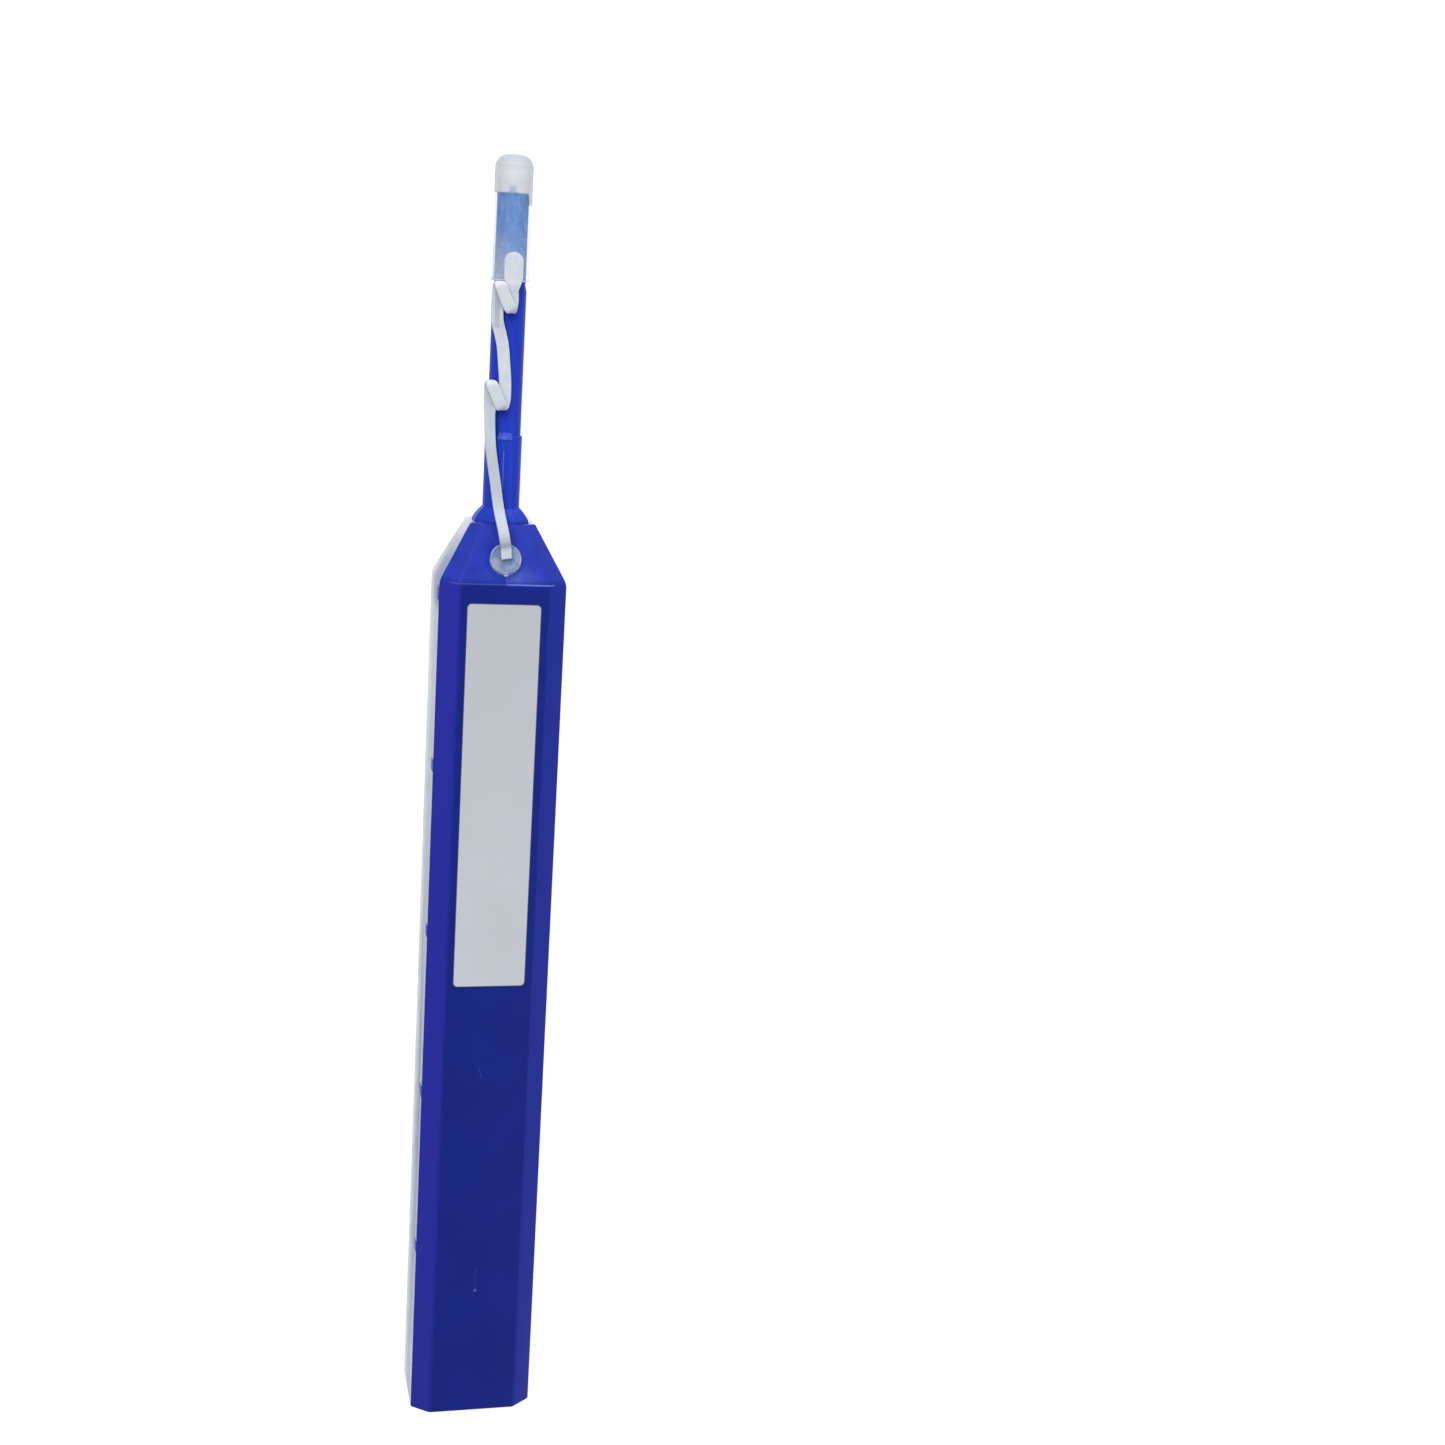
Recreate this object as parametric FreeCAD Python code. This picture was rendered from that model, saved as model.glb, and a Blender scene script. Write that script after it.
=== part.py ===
import FreeCAD, Part
import math
import os

from FreeCAD import Vector

# Fibre connector cleaning pen, lying on its back.
# X runs across the casing, Y from the tail to the cap, Z from the rear face up to the label face.
# All sizes are in millimetres.

# ---- casing ----
LENGTH = 196.0              # tail face to the top of the cap
CASE_W = 19.0               # across the casing
CASE_D = 16.5               # rear face to front face
WALL = 1.2
TAIL_Y = -LENGTH / 2
SHOULDER_Y = 36.3           # where the front face turns down to the mouth
MOUTH_Y = 44.7              # open end of the casing
MOUTH_HALF = 4.85           # half the mouth, outside
MOUTH_WALL = 0.65
AXIS_Z = 8.1                # height of the nozzle's axis
FRONT_CUT = (2.6, 2.15)     # bevel of the front long edges: across, deep
REAR_CUT = (3.4, 3.4)       # bevel of the rear long edges
MOUTH_CUT = (1.65, 1.65)
SEAM_Z = CASE_D - FRONT_CUT[1]
SEAM_MOUTH_Z = AXIS_Z + MOUTH_HALF - MOUTH_CUT[1]
LIP_H = 0.8                 # tongue of the rear casing inside the front one
LIP_OUT = 0.65              # its outer face, measured in from the outside
LIP_GAP = 0.05
EDGE_R = 0.45               # rounding of the long outside edges

# ---- snap tabs along the seam ----
TAB_FIRST_Y = 34.3
TAB_PITCH = 26.1
TAB_COUNT = 5
TAB_W = 1.9
TAB_H = 2.2
TAB_T = 0.6
BARB = 0.35
BARB_Z = (1.1, 1.3)         # catch face and back of the barb, below the seam
TAB_GAP = 0.06

# ---- ribs, ledges and boss inside the casing ----
JOIN = 0.2                  # how far a rib or boss reaches into what carries it
RIB_T = 0.8
RIB_X = 5.0
RIB_Y = (-86.0, 26.0)       # ribs and ledges that guide the plate
CROSS_RIB_Y = (-74.0, -46.0, -18.0, 10.0)
LEDGE_W = 0.9
PEG_BOSS = (3.0, 1.5)       # half its width and half its length
FLOOR_RIB_Y = (-74.0, -62.0)
FLOOR_RIB = (5.5, 0.8)      # half its width, and its height

# ---- label and tether ----
LABEL = (11.1, 59.5, 0.1)
LABEL_TOP_Y = 33.4
LABEL_R = 0.7
BUTTON_Y = 39.7
BUTTON_D = 4.7
BUTTON_H = 0.9
BUTTON_STEM_D = 2.2
STEM_L = 1.8
BUTTON_RIM = 0.35
BUTTON_SINK = 0.15
STRAP_W = 1.5
STRAP_T = 0.5
FOLD_R = 0.65
FOLD_SIDES = 8
STRAP_START = (0.1, 79.8, 11.35)
STRAP_FOLDS = ((-0.1, 75.8, 11.5), (-2.0, 79.3, 12.7), (-0.8, 62.1, 12.5), (-2.6, 65.1, 13.8))
STRAP_END_X = 0.3

# ---- nozzle ----
BASE_AF = 8.2               # octagonal base, across flats
BASE_REAR_Y = 28.0
STOP_Y = (39.0, 40.8)        # flange that stops against the inside of the shoulder
STOP_HALF = (5.8, 4.6)       # half its width and half its height
FLARE_TOP_Y = 47.1
SLEEVE_D = 5.5
SLEEVE_END_Y = 57.5
TUBE_D = 5.0
TUBE_STEP_Y = 78.6
TUBE_TIP_D = 4.6
NOZZLE_END_Y = 92.6
NOZZLE_BORE = 3.4
TIP_HOLE = 1.6
TIP_WALL = 1.4
NOZZLE_EDGE = 0.45
SLIDE_MARK = (1.0, 0.4, 0.5, 0.1)   # half its width, length on the sleeve and on the tube, height

# ---- cap ----
CAP_RIM_Y = 80.0
CAP_D = 5.6
CAP_BORE = 4.7
CAP_CORNER_R = 1.9
CAP_CORNER_STEPS = 2
CAP_ROOF = 1.4
CAP_RIM_D = 6.1
CAP_RIM_H = 0.7
CAP_TAB_X = (-1.3, 1.5)
CAP_TAB_L = 4.2
CAP_TAB_Z = (0.5, 0.35)     # depth into the cap's wall, height over it
CAP_TAB_R = 1.3

# ---- carriage ----
STROKE = 8.0
PLATE_Z = (12.4, 13.6)
PLATE_HALF = 8.2
PLATE_Y = (-58.0, 28.0)
BULK_T = 2.0
BULK_HALF = 6.3
BULK_LOW_Z = 2.6
CRADLE_Y = 3.0              # rear bulkhead of the cam barrel
RAIL_GAP = 0.1
WINDOW = (4.3, 4.0)         # half its width and half its length
WINDOW_Y = (-27.4, -50.0)
BULK_EDGE = 2.4
CHEEK_Z = 9.6
CHEEK_T = 1.0
TAIL_WALL = (5.0, 1.6, 3.6) # half its width, thickness, lowest point
GUSSET_X = (-4.6, 3.8)
GUSSET_T = 0.8
GUSSET = (3.4, 6.0)         # length along the plate, lowest point
FIT = 0.1                   # between parts that plug together
COLLAR_AF = 6.6             # eight-sided collar that the nozzle plugs onto, across flats
COLLAR_END_Y = 30.6
SPIGOT_L = 5.0
SPIGOT_T = 1.0

# ---- cam barrel, spindle and tip ----
CAM_D = 8.0
CAM_Y = (5.15, 25.85)
JOURNAL_D = 5.0
JOURNAL_BORE = 5.1
TAIL_JOURNAL_D = 6.2
TAIL_JOURNAL_BORE = 6.3
CAM_TURN = 180.0            # degrees over the whole stroke
CAM_START_Y = 11.5          # the peg at rest
CAM_FLOOR_R = 3.05
CAM_SLOT = 2.15             # slot width along the axis
CAM_CLEAR = 0.3             # round the barrel, between its bulkheads
PEG_D = 1.5
PEG_TOP_Z = AXIS_Z - CAM_FLOOR_R - 0.15
SPINDLE_D = 2.8
SPINDLE_BORE = 2.9
SPINDLE_Y = (6.6, 90.2)
POCKET_D = 4.6
POCKET_END_Y = 21.7
SEAT_END_Y = 6.4
COLLAR_Y = (20.2, 21.6)
SPINDLE_COLLAR_D = 4.4
THREAD_GROOVE = (0.7, 0.55)  # width, depth
TIP_SLOT = (0.5, 0.22)       # width, depth
THREAD_D = 0.36
THREAD_SIDES = 6
TIP_D = 1.2
TIP_END_Y = 94.1
TIP_ROOT_Y = 88.2

# ---- reels and drive ----
MODULE = 0.5
PINION_TEETH = 16
PRESSURE = math.radians(20)
ADDENDUM = 0.9 * MODULE
DEDENDUM = 1.2 * MODULE
BACKLASH = 0.06
PITCH_R = MODULE * PINION_TEETH / 2
GEAR_Z = (8.9, 11.7)
RACK_TEETH = 9
TAKEUP_Y = -16.0
SUPPLY_Y = -38.5
POST_D = 3.0
POST_BORE = 3.1
POST_LOW_Z = 1.9
POST_BOSS_R = 2.4
POST_SLOT = (0.5, 3.2)       # width, depth
SNAP_BARB = (0.3, 1.0, 1.2)  # how far it stands out, length of its lead-in, width of the barb
REEL_Z = (3.4, 8.8)
REEL_FLANGE_T = 0.8
TAKEUP_FLANGE_R = 5.7
SUPPLY_FLANGE_R = 7.0
HUB_R = 2.6
USED_R = 3.6
FRESH_R = 5.9
WINDING_SIDES = 24
RATCHET_TEETH = 24
RATCHET_DEPTH = 0.35
DRIVE_AF = 4.3               # six-sided boss that turns the reel, across flats
DRIVE_H = 0.45
PAWL_BLOCK = (1.6, 3.2, -7.4, -5.2)   # x from, to, y from, to
PAWL_Z = (REEL_Z[0] + 0.1, REEL_Z[0] + 0.7)
PAWL_DROP = 0.45             # how far the foot stands out of the block
PAWL_TOOTH = 7               # tooth, counted from +X, that the nose sits behind
PAWL_T = 0.3
GUIDE_AT = (-6.0, -8.5)
GUIDE_D = 1.2
WASHER = (4.6, 0.35)         # square side, thickness

# ---- springs ----
RETURN_SPRING = (7.0, 0.7, 7)    # outside diameter, wire, turns
RETURN_SPRING_Y = (-86.5, PLATE_Y[0])
TIP_SPRING = (4.3, 0.35, 5)
TAIL_RIB_Y = -88.0
WIRE_SIDES = 4
COIL_STEPS = 8               # straight steps in one turn of a spring

BIG = 400.0
FLAT_LIMIT = 1e-6            # a side whose corners leave one plane by more than this is twisted


# ---------------------------------------------------------------- helpers
def box(x0, x1, y0, y1, z0, z1):
    return Part.makeBox(x1 - x0, y1 - y0, z1 - z0, Vector(x0, y0, z0))


def rod_y(diameter, y0, y1, x=0.0, z=AXIS_Z):
    """Round bar along Y."""
    return Part.makeCylinder(diameter / 2, y1 - y0, Vector(x, y0, z), Vector(0, 1, 0))


def rod_z(radius, x, y, z0, z1):
    """Round bar along Z."""
    return Part.makeCylinder(radius, z1 - z0, Vector(x, y, z0), Vector(0, 0, 1))


def polygon(points):
    return Part.makePolygon(list(points) + [points[0]])


def prism(points, direction):
    """Closed outline pushed along a direction."""
    return Part.Face(polygon(points)).extrude(direction)


def both_sides(shape):
    """The shape and its mirror image across the middle plane."""
    return [shape, shape.mirror(Vector(0, 0, 0), Vector(1, 0, 0))]


def one_solid(shape):
    """The refined result of a boolean, as a single solid."""
    shape = shape.removeSplitter()
    if len(shape.Solids) != 1:
        raise ValueError("expected one solid, got %d" % len(shape.Solids))
    return shape.Solids[0]


def section(y, half, low, high, low_cut, high_cut):
    """Corners of an eight-sided outline across the casing at one station."""
    lx, lz = low_cut
    hx, hz = high_cut
    side = [(half - lx, low), (half, low + lz), (half, high - hz), (half - hx, high)]
    points = side + [(-x, z) for x, z in reversed(side)]
    return [Vector(x, y, z) for x, z in points]


def octagon(y, across_flats):
    """Regular octagon around the nozzle's axis."""
    half = across_flats / 2
    cut = half * (2 - math.sqrt(2))
    return section(y, half, AXIS_Z - half, AXIS_Z + half, (cut, cut), (cut, cut))


def loft(*stations, split=False):
    """Solid with straight sides through outlines of as many corners each.

    A twisted side is one ruled face, or two flat ones where split is set.
    """
    faces = [Part.Face(polygon(stations[0])), Part.Face(polygon(stations[-1]))]
    for near, far in zip(stations, stations[1:]):
        for i in range(len(near)):
            a, b, c, d = near[i - 1], near[i], far[i], far[i - 1]
            if abs((b - a).cross(d - a).normalize().dot(c - a)) < FLAT_LIMIT:
                faces.append(Part.Face(polygon([a, b, c, d])))
            elif split:
                faces += [Part.Face(polygon([a, b, c])), Part.Face(polygon([a, c, d]))]
            else:
                faces.append(Part.makeRuledSurface(Part.makeLine(a, b), Part.makeLine(d, c)))
    solid = Part.makeSolid(Part.makeShell(faces))
    return solid if solid.Volume > 0 else solid.reversed()


def shrunk(cut, inset):
    """A bevel's legs after its faces have moved inwards."""
    return tuple(leg - inset * math.tan(math.pi / 8) for leg in cut)


# ---------------------------------------------------------------- casing
def casing_block(inset, mouth_inset, tail_inset, over=0.0):
    """Solid inside the casing's faces moved in by inset, open at the mouth by over."""
    low, high = inset, CASE_D - inset
    cuts = (shrunk(REAR_CUT, inset), shrunk(FRONT_CUT, inset))
    mouth = MOUTH_HALF - mouth_inset
    mouth_cut = shrunk(MOUTH_CUT, mouth_inset)
    tail = section(TAIL_Y + tail_inset, CASE_W / 2 - inset, low, high, *cuts)
    shoulder = section(SHOULDER_Y, CASE_W / 2 - inset, low, high, *cuts)

    def mouth_at(y):
        return section(y, mouth, AXIS_Z - mouth, AXIS_Z + mouth, mouth_cut, mouth_cut)

    block = loft(tail, shoulder).fuse(loft(shoulder, mouth_at(MOUTH_Y)))
    if over:
        block = block.fuse(loft(mouth_at(MOUTH_Y), mouth_at(MOUTH_Y + over)))
    return one_solid(block)


def soften(block):
    """Rounded long edges on the outside of the casing."""
    long_edges = [e for e in block.Edges if e.Length > LENGTH / 2]
    return block.makeFillet(EDGE_R, long_edges)


def above_seam(lift=0.0):
    """Everything on the front side of the parting surface."""
    z0, z1 = SEAM_Z + lift, SEAM_MOUTH_Z + lift
    outline = [(-BIG, z0), (SHOULDER_Y, z0), (MOUTH_Y, z1), (BIG, z1), (BIG, BIG), (-BIG, BIG)]
    return prism([Vector(-BIG, y, z) for y, z in outline], Vector(2 * BIG, 0, 0))


def lip_band(gap):
    """Tongue along the seam, inside the wall; gap widens it for the rebate."""
    outer = casing_block(LIP_OUT - gap, MOUTH_WALL / 2 - gap, LIP_OUT - gap)
    inner = casing_block(WALL + gap, MOUTH_WALL + gap, WALL + gap, 1.0)
    ring = outer.cut(inner)
    return ring.common(above_seam(-gap)).cut(above_seam(LIP_H + gap))


def tab_stations():
    return [TAB_FIRST_Y - i * TAB_PITCH for i in range(TAB_COUNT)]


def snap_tab(y):
    """One tab with its barb, hanging from the right side wall of the front casing."""
    side = CASE_W / 2
    tab = box(side - TAB_T, side, y - TAB_W / 2, y + TAB_W / 2, SEAM_Z - TAB_H, SEAM_Z + LIP_H)
    root, tip = side - TAB_T + 0.1, side - TAB_T - BARB
    catch, back = SEAM_Z - BARB_Z[0], SEAM_Z - BARB_Z[1]
    barb = [(root, catch), (tip, catch), (tip, back), (root, SEAM_Z - TAB_H)]
    points = [Vector(x, y - TAB_W / 4, z) for x, z in barb]
    return tab.fuse(prism(points, Vector(0, TAB_W / 2, 0)))


def tab_pocket(y):
    """Recess and barb window for one tab in the right side wall of the rear casing."""
    side, half = CASE_W / 2, TAB_W / 2 + TAB_GAP
    recess = box(side - TAB_T - TAB_GAP, side + 1, y - half, y + half, SEAM_Z - TAB_H - TAB_GAP, SEAM_Z + 1)
    half = TAB_W / 4 + TAB_GAP
    low, high = SEAM_Z - TAB_H - TAB_GAP, SEAM_Z - BARB_Z[0] + TAB_GAP
    window = box(side - WALL - JOIN, side, y - half, y + half, low, high)
    return recess.fuse(window)


def on_shoulder(y):
    """Height of the sloped front facet."""
    fall = (CASE_D - AXIS_Z - MOUTH_HALF) / (MOUTH_Y - SHOULDER_Y)
    return CASE_D - (y - SHOULDER_Y) * fall


def slope_axis():
    """Outward normal of the sloped front facet."""
    fall = CASE_D - AXIS_Z - MOUTH_HALF
    return Vector(0, fall, MOUTH_Y - SHOULDER_Y).normalize()


def front_casing(outer, inner):
    shell = outer.cut(inner).common(above_seam())
    shell = shell.cut(lip_band(LIP_GAP))
    for y in tab_stations():
        for tab in both_sides(snap_tab(y)):
            shell = shell.fuse(tab.common(outer))
    # Two ribs keep the carriage plate down.
    half, top = RIB_T / 2, CASE_D - WALL + JOIN
    for rib in both_sides(box(RIB_X - half, RIB_X + half, *RIB_Y, PLATE_Z[1] + RAIL_GAP, top)):
        shell = shell.fuse(rib)
    # Cross ribs stiffen the flat label wall, clear of the plate.
    for y in CROSS_RIB_Y:
        shell = shell.fuse(box(-RIB_X, RIB_X, y - half, y + half, PLATE_Z[1] + 2 * RAIL_GAP, top))
    # Hole that grips the stem of the tether's button.
    start = Vector(0, BUTTON_Y, on_shoulder(BUTTON_Y)) - slope_axis() * 3
    shell = shell.cut(Part.makeCylinder(BUTTON_STEM_D / 2, 6, start, slope_axis()))
    return one_solid(shell)


def rack():
    """Rack teeth on the right wall, in mesh with the pinion at rest."""
    pitch = math.pi * MODULE
    root, tip = PITCH_R + DEDENDUM, PITCH_R - ADDENDUM
    half = pitch / 4 - BACKLASH
    z0, z1 = GEAR_Z[0] + 0.3, GEAR_Z[1] + FIT
    first = TAKEUP_Y + pitch / 2 - (RACK_TEETH - 2) * pitch
    last = first + (RACK_TEETH - 1) * pitch
    bar = box(root, CASE_W / 2 - WALL + JOIN, first - pitch / 2, last + pitch / 2, z0, z1)
    wide = half + (root - PITCH_R) * math.tan(PRESSURE)
    thin = half - (PITCH_R - tip) * math.tan(PRESSURE)
    for i in range(RACK_TEETH):
        y = first + i * pitch
        tooth = [(root + 0.1, y - wide), (tip, y - thin), (tip, y + thin), (root + 0.1, y + wide)]
        bar = bar.fuse(prism([Vector(a, b, z0) for a, b in tooth], Vector(0, 0, z1 - z0)))
    return bar


def rear_casing(outer, inner):
    shell = outer.cut(inner).cut(above_seam()).fuse(lip_band(0.0))
    for y in tab_stations():
        for pocket in both_sides(tab_pocket(y)):
            shell = shell.cut(pocket)
    inside = CASE_W / 2 - WALL
    # Ledges carry the carriage plate along both walls.
    ledge_top = PLATE_Z[0] - RAIL_GAP
    for ledge in both_sides(box(inside - LEDGE_W, inside + JOIN, *RIB_Y, GEAR_Z[1] + FIT, ledge_top)):
        shell = shell.fuse(ledge)
    shell = shell.fuse(rack())
    # Boss and peg that work in the cam slot.
    boss_top = AXIS_Z - CAM_D / 2 - 0.4
    across, along = PEG_BOSS
    shell = shell.fuse(box(-across, across, CAM_START_Y - along, CAM_START_Y + along, WALL - JOIN, boss_top))
    shell = shell.fuse(rod_z(PEG_D / 2, 0, CAM_START_Y, WALL, PEG_TOP_Z))
    # Tail rib with a spigot for the return spring.
    rib = box(-inside - JOIN, inside + JOIN, TAIL_RIB_Y, RETURN_SPRING_Y[0], WALL - JOIN, ledge_top)
    rib = rib.common(casing_block(WALL / 2, MOUTH_WALL, WALL))
    shell = shell.fuse(rib).fuse(spigot(RETURN_SPRING_Y[0] - JOIN, RETURN_SPRING_Y[0] + SPIGOT_L))
    across, height = FLOOR_RIB
    for y in FLOOR_RIB_Y:
        shell = shell.fuse(box(-across, across, y - RIB_T / 2, y + RIB_T / 2, WALL - JOIN, WALL + height))
    return one_solid(shell)


# ---------------------------------------------------------------- label, button, tether, cap
def label_sheet():
    width, length, thick = LABEL
    sheet = box(-width / 2, width / 2, LABEL_TOP_Y - length, LABEL_TOP_Y, CASE_D, CASE_D + thick)
    corners = [e for e in sheet.Edges if abs(e.Length - thick) < 1e-6]
    return sheet.makeFillet(LABEL_R, corners)


def tether_button():
    """Disc with a sunk face and a soft stem that is pushed into the shoulder."""
    seat, axis = Vector(0, BUTTON_Y, on_shoulder(BUTTON_Y)), slope_axis()
    disc = Part.makeCylinder(BUTTON_D / 2, BUTTON_H, seat, axis)
    floor = seat + axis * (BUTTON_H - BUTTON_SINK)
    disc = disc.cut(Part.makeCylinder(BUTTON_D / 2 - BUTTON_RIM, BUTTON_H, floor, axis))
    stem = Part.makeCylinder(BUTTON_STEM_D / 2, STEM_L, seat - axis * STEM_L, axis)
    return one_solid(disc.fuse(stem))


def strap_route():
    """Start, folds and end of the tether, from the cap's rim to the button."""
    end = Vector(STRAP_END_X, BUTTON_Y, on_shoulder(BUTTON_Y)) + slope_axis() * (BUTTON_H + STRAP_T / 2)
    return [Vector(*STRAP_START), *[Vector(*at) for at in STRAP_FOLDS], end]


def strap_run(a, b):
    """Flat strip between two points, its broad side towards the front."""
    along = b - a
    length = along.Length
    strip = Part.makeBox(STRAP_W, length, STRAP_T, Vector(-STRAP_W / 2, 0, -STRAP_T / 2))
    along.normalize()
    across = along.cross(Vector(0, 0, 1)).normalize()
    up = across.cross(along)
    turn = FreeCAD.Rotation(across, along, up, "ZXY")
    strip.Placement = FreeCAD.Placement(a, turn)
    return strip


def strap_fold(at):
    """Bead where two runs of the strap meet at a tight fold."""
    ring = []
    for side in range(FOLD_SIDES):
        angle = 2 * math.pi * side / FOLD_SIDES
        ring.append(at + Vector(-STRAP_W / 2, FOLD_R * math.cos(angle), FOLD_R * math.sin(angle)))
    return prism(ring, Vector(STRAP_W, 0, 0))


def cap_tether():
    route = strap_route()
    strap = strap_run(route[0], route[1])
    for a, b in zip(route[1:-1], route[2:]):
        strap = strap.fuse(strap_run(a, b))
    for at in route[1:-1]:
        strap = strap.fuse(strap_fold(at))
    return one_solid(strap)


def cap_profile():
    """Half section of the cap, from the crown down the outside and back up the bore."""
    radius, top = CAP_D / 2, LENGTH / 2
    rim, bore, roof = CAP_RIM_D / 2, CAP_BORE / 2, top - CAP_ROOF
    step = CAP_RIM_Y + CAP_RIM_H
    points = [(0, top)]
    for i in range(CAP_CORNER_STEPS + 1):
        turn = math.pi / 2 * i / CAP_CORNER_STEPS
        inward, down = CAP_CORNER_R * (1 - math.sin(turn)), CAP_CORNER_R * (1 - math.cos(turn))
        points.append((radius - inward, top - down))
    points += [(radius, step), (rim, step), (rim, CAP_RIM_Y), (bore, CAP_RIM_Y), (bore, roof), (0, roof)]
    return Part.Face(polygon([Vector(x, y, AXIS_Z) for x, y in points]))


def protective_cap():
    """Thin cap with a rounded top, a rim and the tab that the tether grows from."""
    skirt = cap_profile().revolve(Vector(0, 0, AXIS_Z), Vector(0, 1, 0), 360)
    wall_z, end_y = AXIS_Z + CAP_D / 2, CAP_RIM_Y + CAP_TAB_L
    tab = box(*CAP_TAB_X, CAP_RIM_Y, end_y, wall_z - CAP_TAB_Z[0], wall_z + CAP_TAB_Z[1])
    upright = [e for e in tab.Edges if e.BoundBox.YMin > end_y - 0.1 and e.BoundBox.XLength < 0.1]
    bore = rod_y(CAP_BORE, CAP_RIM_Y - 1, end_y + 1)
    return one_solid(skirt.fuse(tab.makeFillet(CAP_TAB_R, upright)).cut(bore))


# ---------------------------------------------------------------- carriage and nozzle
def nozzle():
    """Octagonal base, flare, round sleeve and slim tube, moulded as one."""
    body = loft(octagon(BASE_REAR_Y, BASE_AF), octagon(MOUTH_Y, BASE_AF))
    low, high = AXIS_Z - STOP_HALF[1], AXIS_Z + STOP_HALF[1]
    body = body.fuse(loft(*[section(y, STOP_HALF[0], low, high, MOUTH_CUT, MOUTH_CUT) for y in STOP_Y]))
    body = body.fuse(loft(octagon(MOUTH_Y, BASE_AF), octagon(FLARE_TOP_Y + 0.4, SLEEVE_D - 0.7)))
    body = body.fuse(rod_y(SLEEVE_D, MOUTH_Y, SLEEVE_END_Y))
    body = body.fuse(rod_y(TUBE_D, SLEEVE_END_Y, TUBE_STEP_Y))
    end = rod_y(TUBE_TIP_D, TUBE_STEP_Y, NOZZLE_END_Y)
    rim = [e for e in end.Edges if abs(e.BoundBox.YMin - NOZZLE_END_Y) < 1e-6]
    body = body.fuse(end.makeChamfer(NOZZLE_EDGE, rim))
    # Raised mark at the sleeve's end, left by the slide of the mould.
    half, back, on, height = SLIDE_MARK
    top = AXIS_Z + SLEEVE_D / 2 + height
    body = body.fuse(box(-half, half, SLEEVE_END_Y - back, SLEEVE_END_Y + on, AXIS_Z, top))
    body = body.cut(rod_y(NOZZLE_BORE, BASE_REAR_Y - 1, NOZZLE_END_Y - TIP_WALL))
    body = body.cut(rod_y(TIP_HOLE, NOZZLE_END_Y - TIP_WALL - 1, NOZZLE_END_Y + 1))
    socket = COLLAR_AF + FIT
    body = body.cut(loft(octagon(BASE_REAR_Y - 1, socket), octagon(COLLAR_END_Y + 0.2, socket)))
    return one_solid(body)


def reel_post(y, boss_low_z):
    """Split post with two snap barbs that a reel turns on, and the boss that spaces the reel."""
    low, high = POST_LOW_Z, PLATE_Z[0] + JOIN
    post = rod_z(POST_D / 2, 0, y, low, high).fuse(rod_z(POST_BOSS_R, 0, y, boss_low_z, high))
    out, lead, wide = SNAP_BARB
    root, tip, back = POST_D / 2 - 0.4, POST_D / 2 + out, low + lead + 0.2
    barb = [(root, low), (tip, low + lead), (tip, back), (root, back)]
    for side in both_sides(prism([Vector(x, y - wide / 2, z) for x, z in barb], Vector(0, wide, 0))):
        post = post.fuse(side)
    half, depth = POST_SLOT[0] / 2, POST_SLOT[1]
    return post.cut(box(-half, half, y - POST_D, y + POST_D, low - 1, low + depth))


def spigot(y0, y1):
    """Cross-shaped spigot that centres the return spring."""
    reach, half = RETURN_SPRING[0] / 2 - RETURN_SPRING[1] - 0.15, SPIGOT_T / 2
    upright = box(-half, half, y0, y1, AXIS_Z - reach, AXIS_Z + reach)
    return upright.fuse(box(-reach, reach, y0, y1, AXIS_Z - half, AXIS_Z + half))


def bulkhead(y0):
    """Wall across the carriage that carries one journal of the cam barrel."""
    wall = box(-BULK_HALF, BULK_HALF, y0, y0 + BULK_T, BULK_LOW_Z, PLATE_Z[0] + JOIN)
    low = [e for e in wall.Edges if e.BoundBox.ZMax < BULK_LOW_Z + 0.1 and abs(e.Length - BULK_T) < 1e-6]
    return wall.makeChamfer(BULK_EDGE, low)


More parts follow.
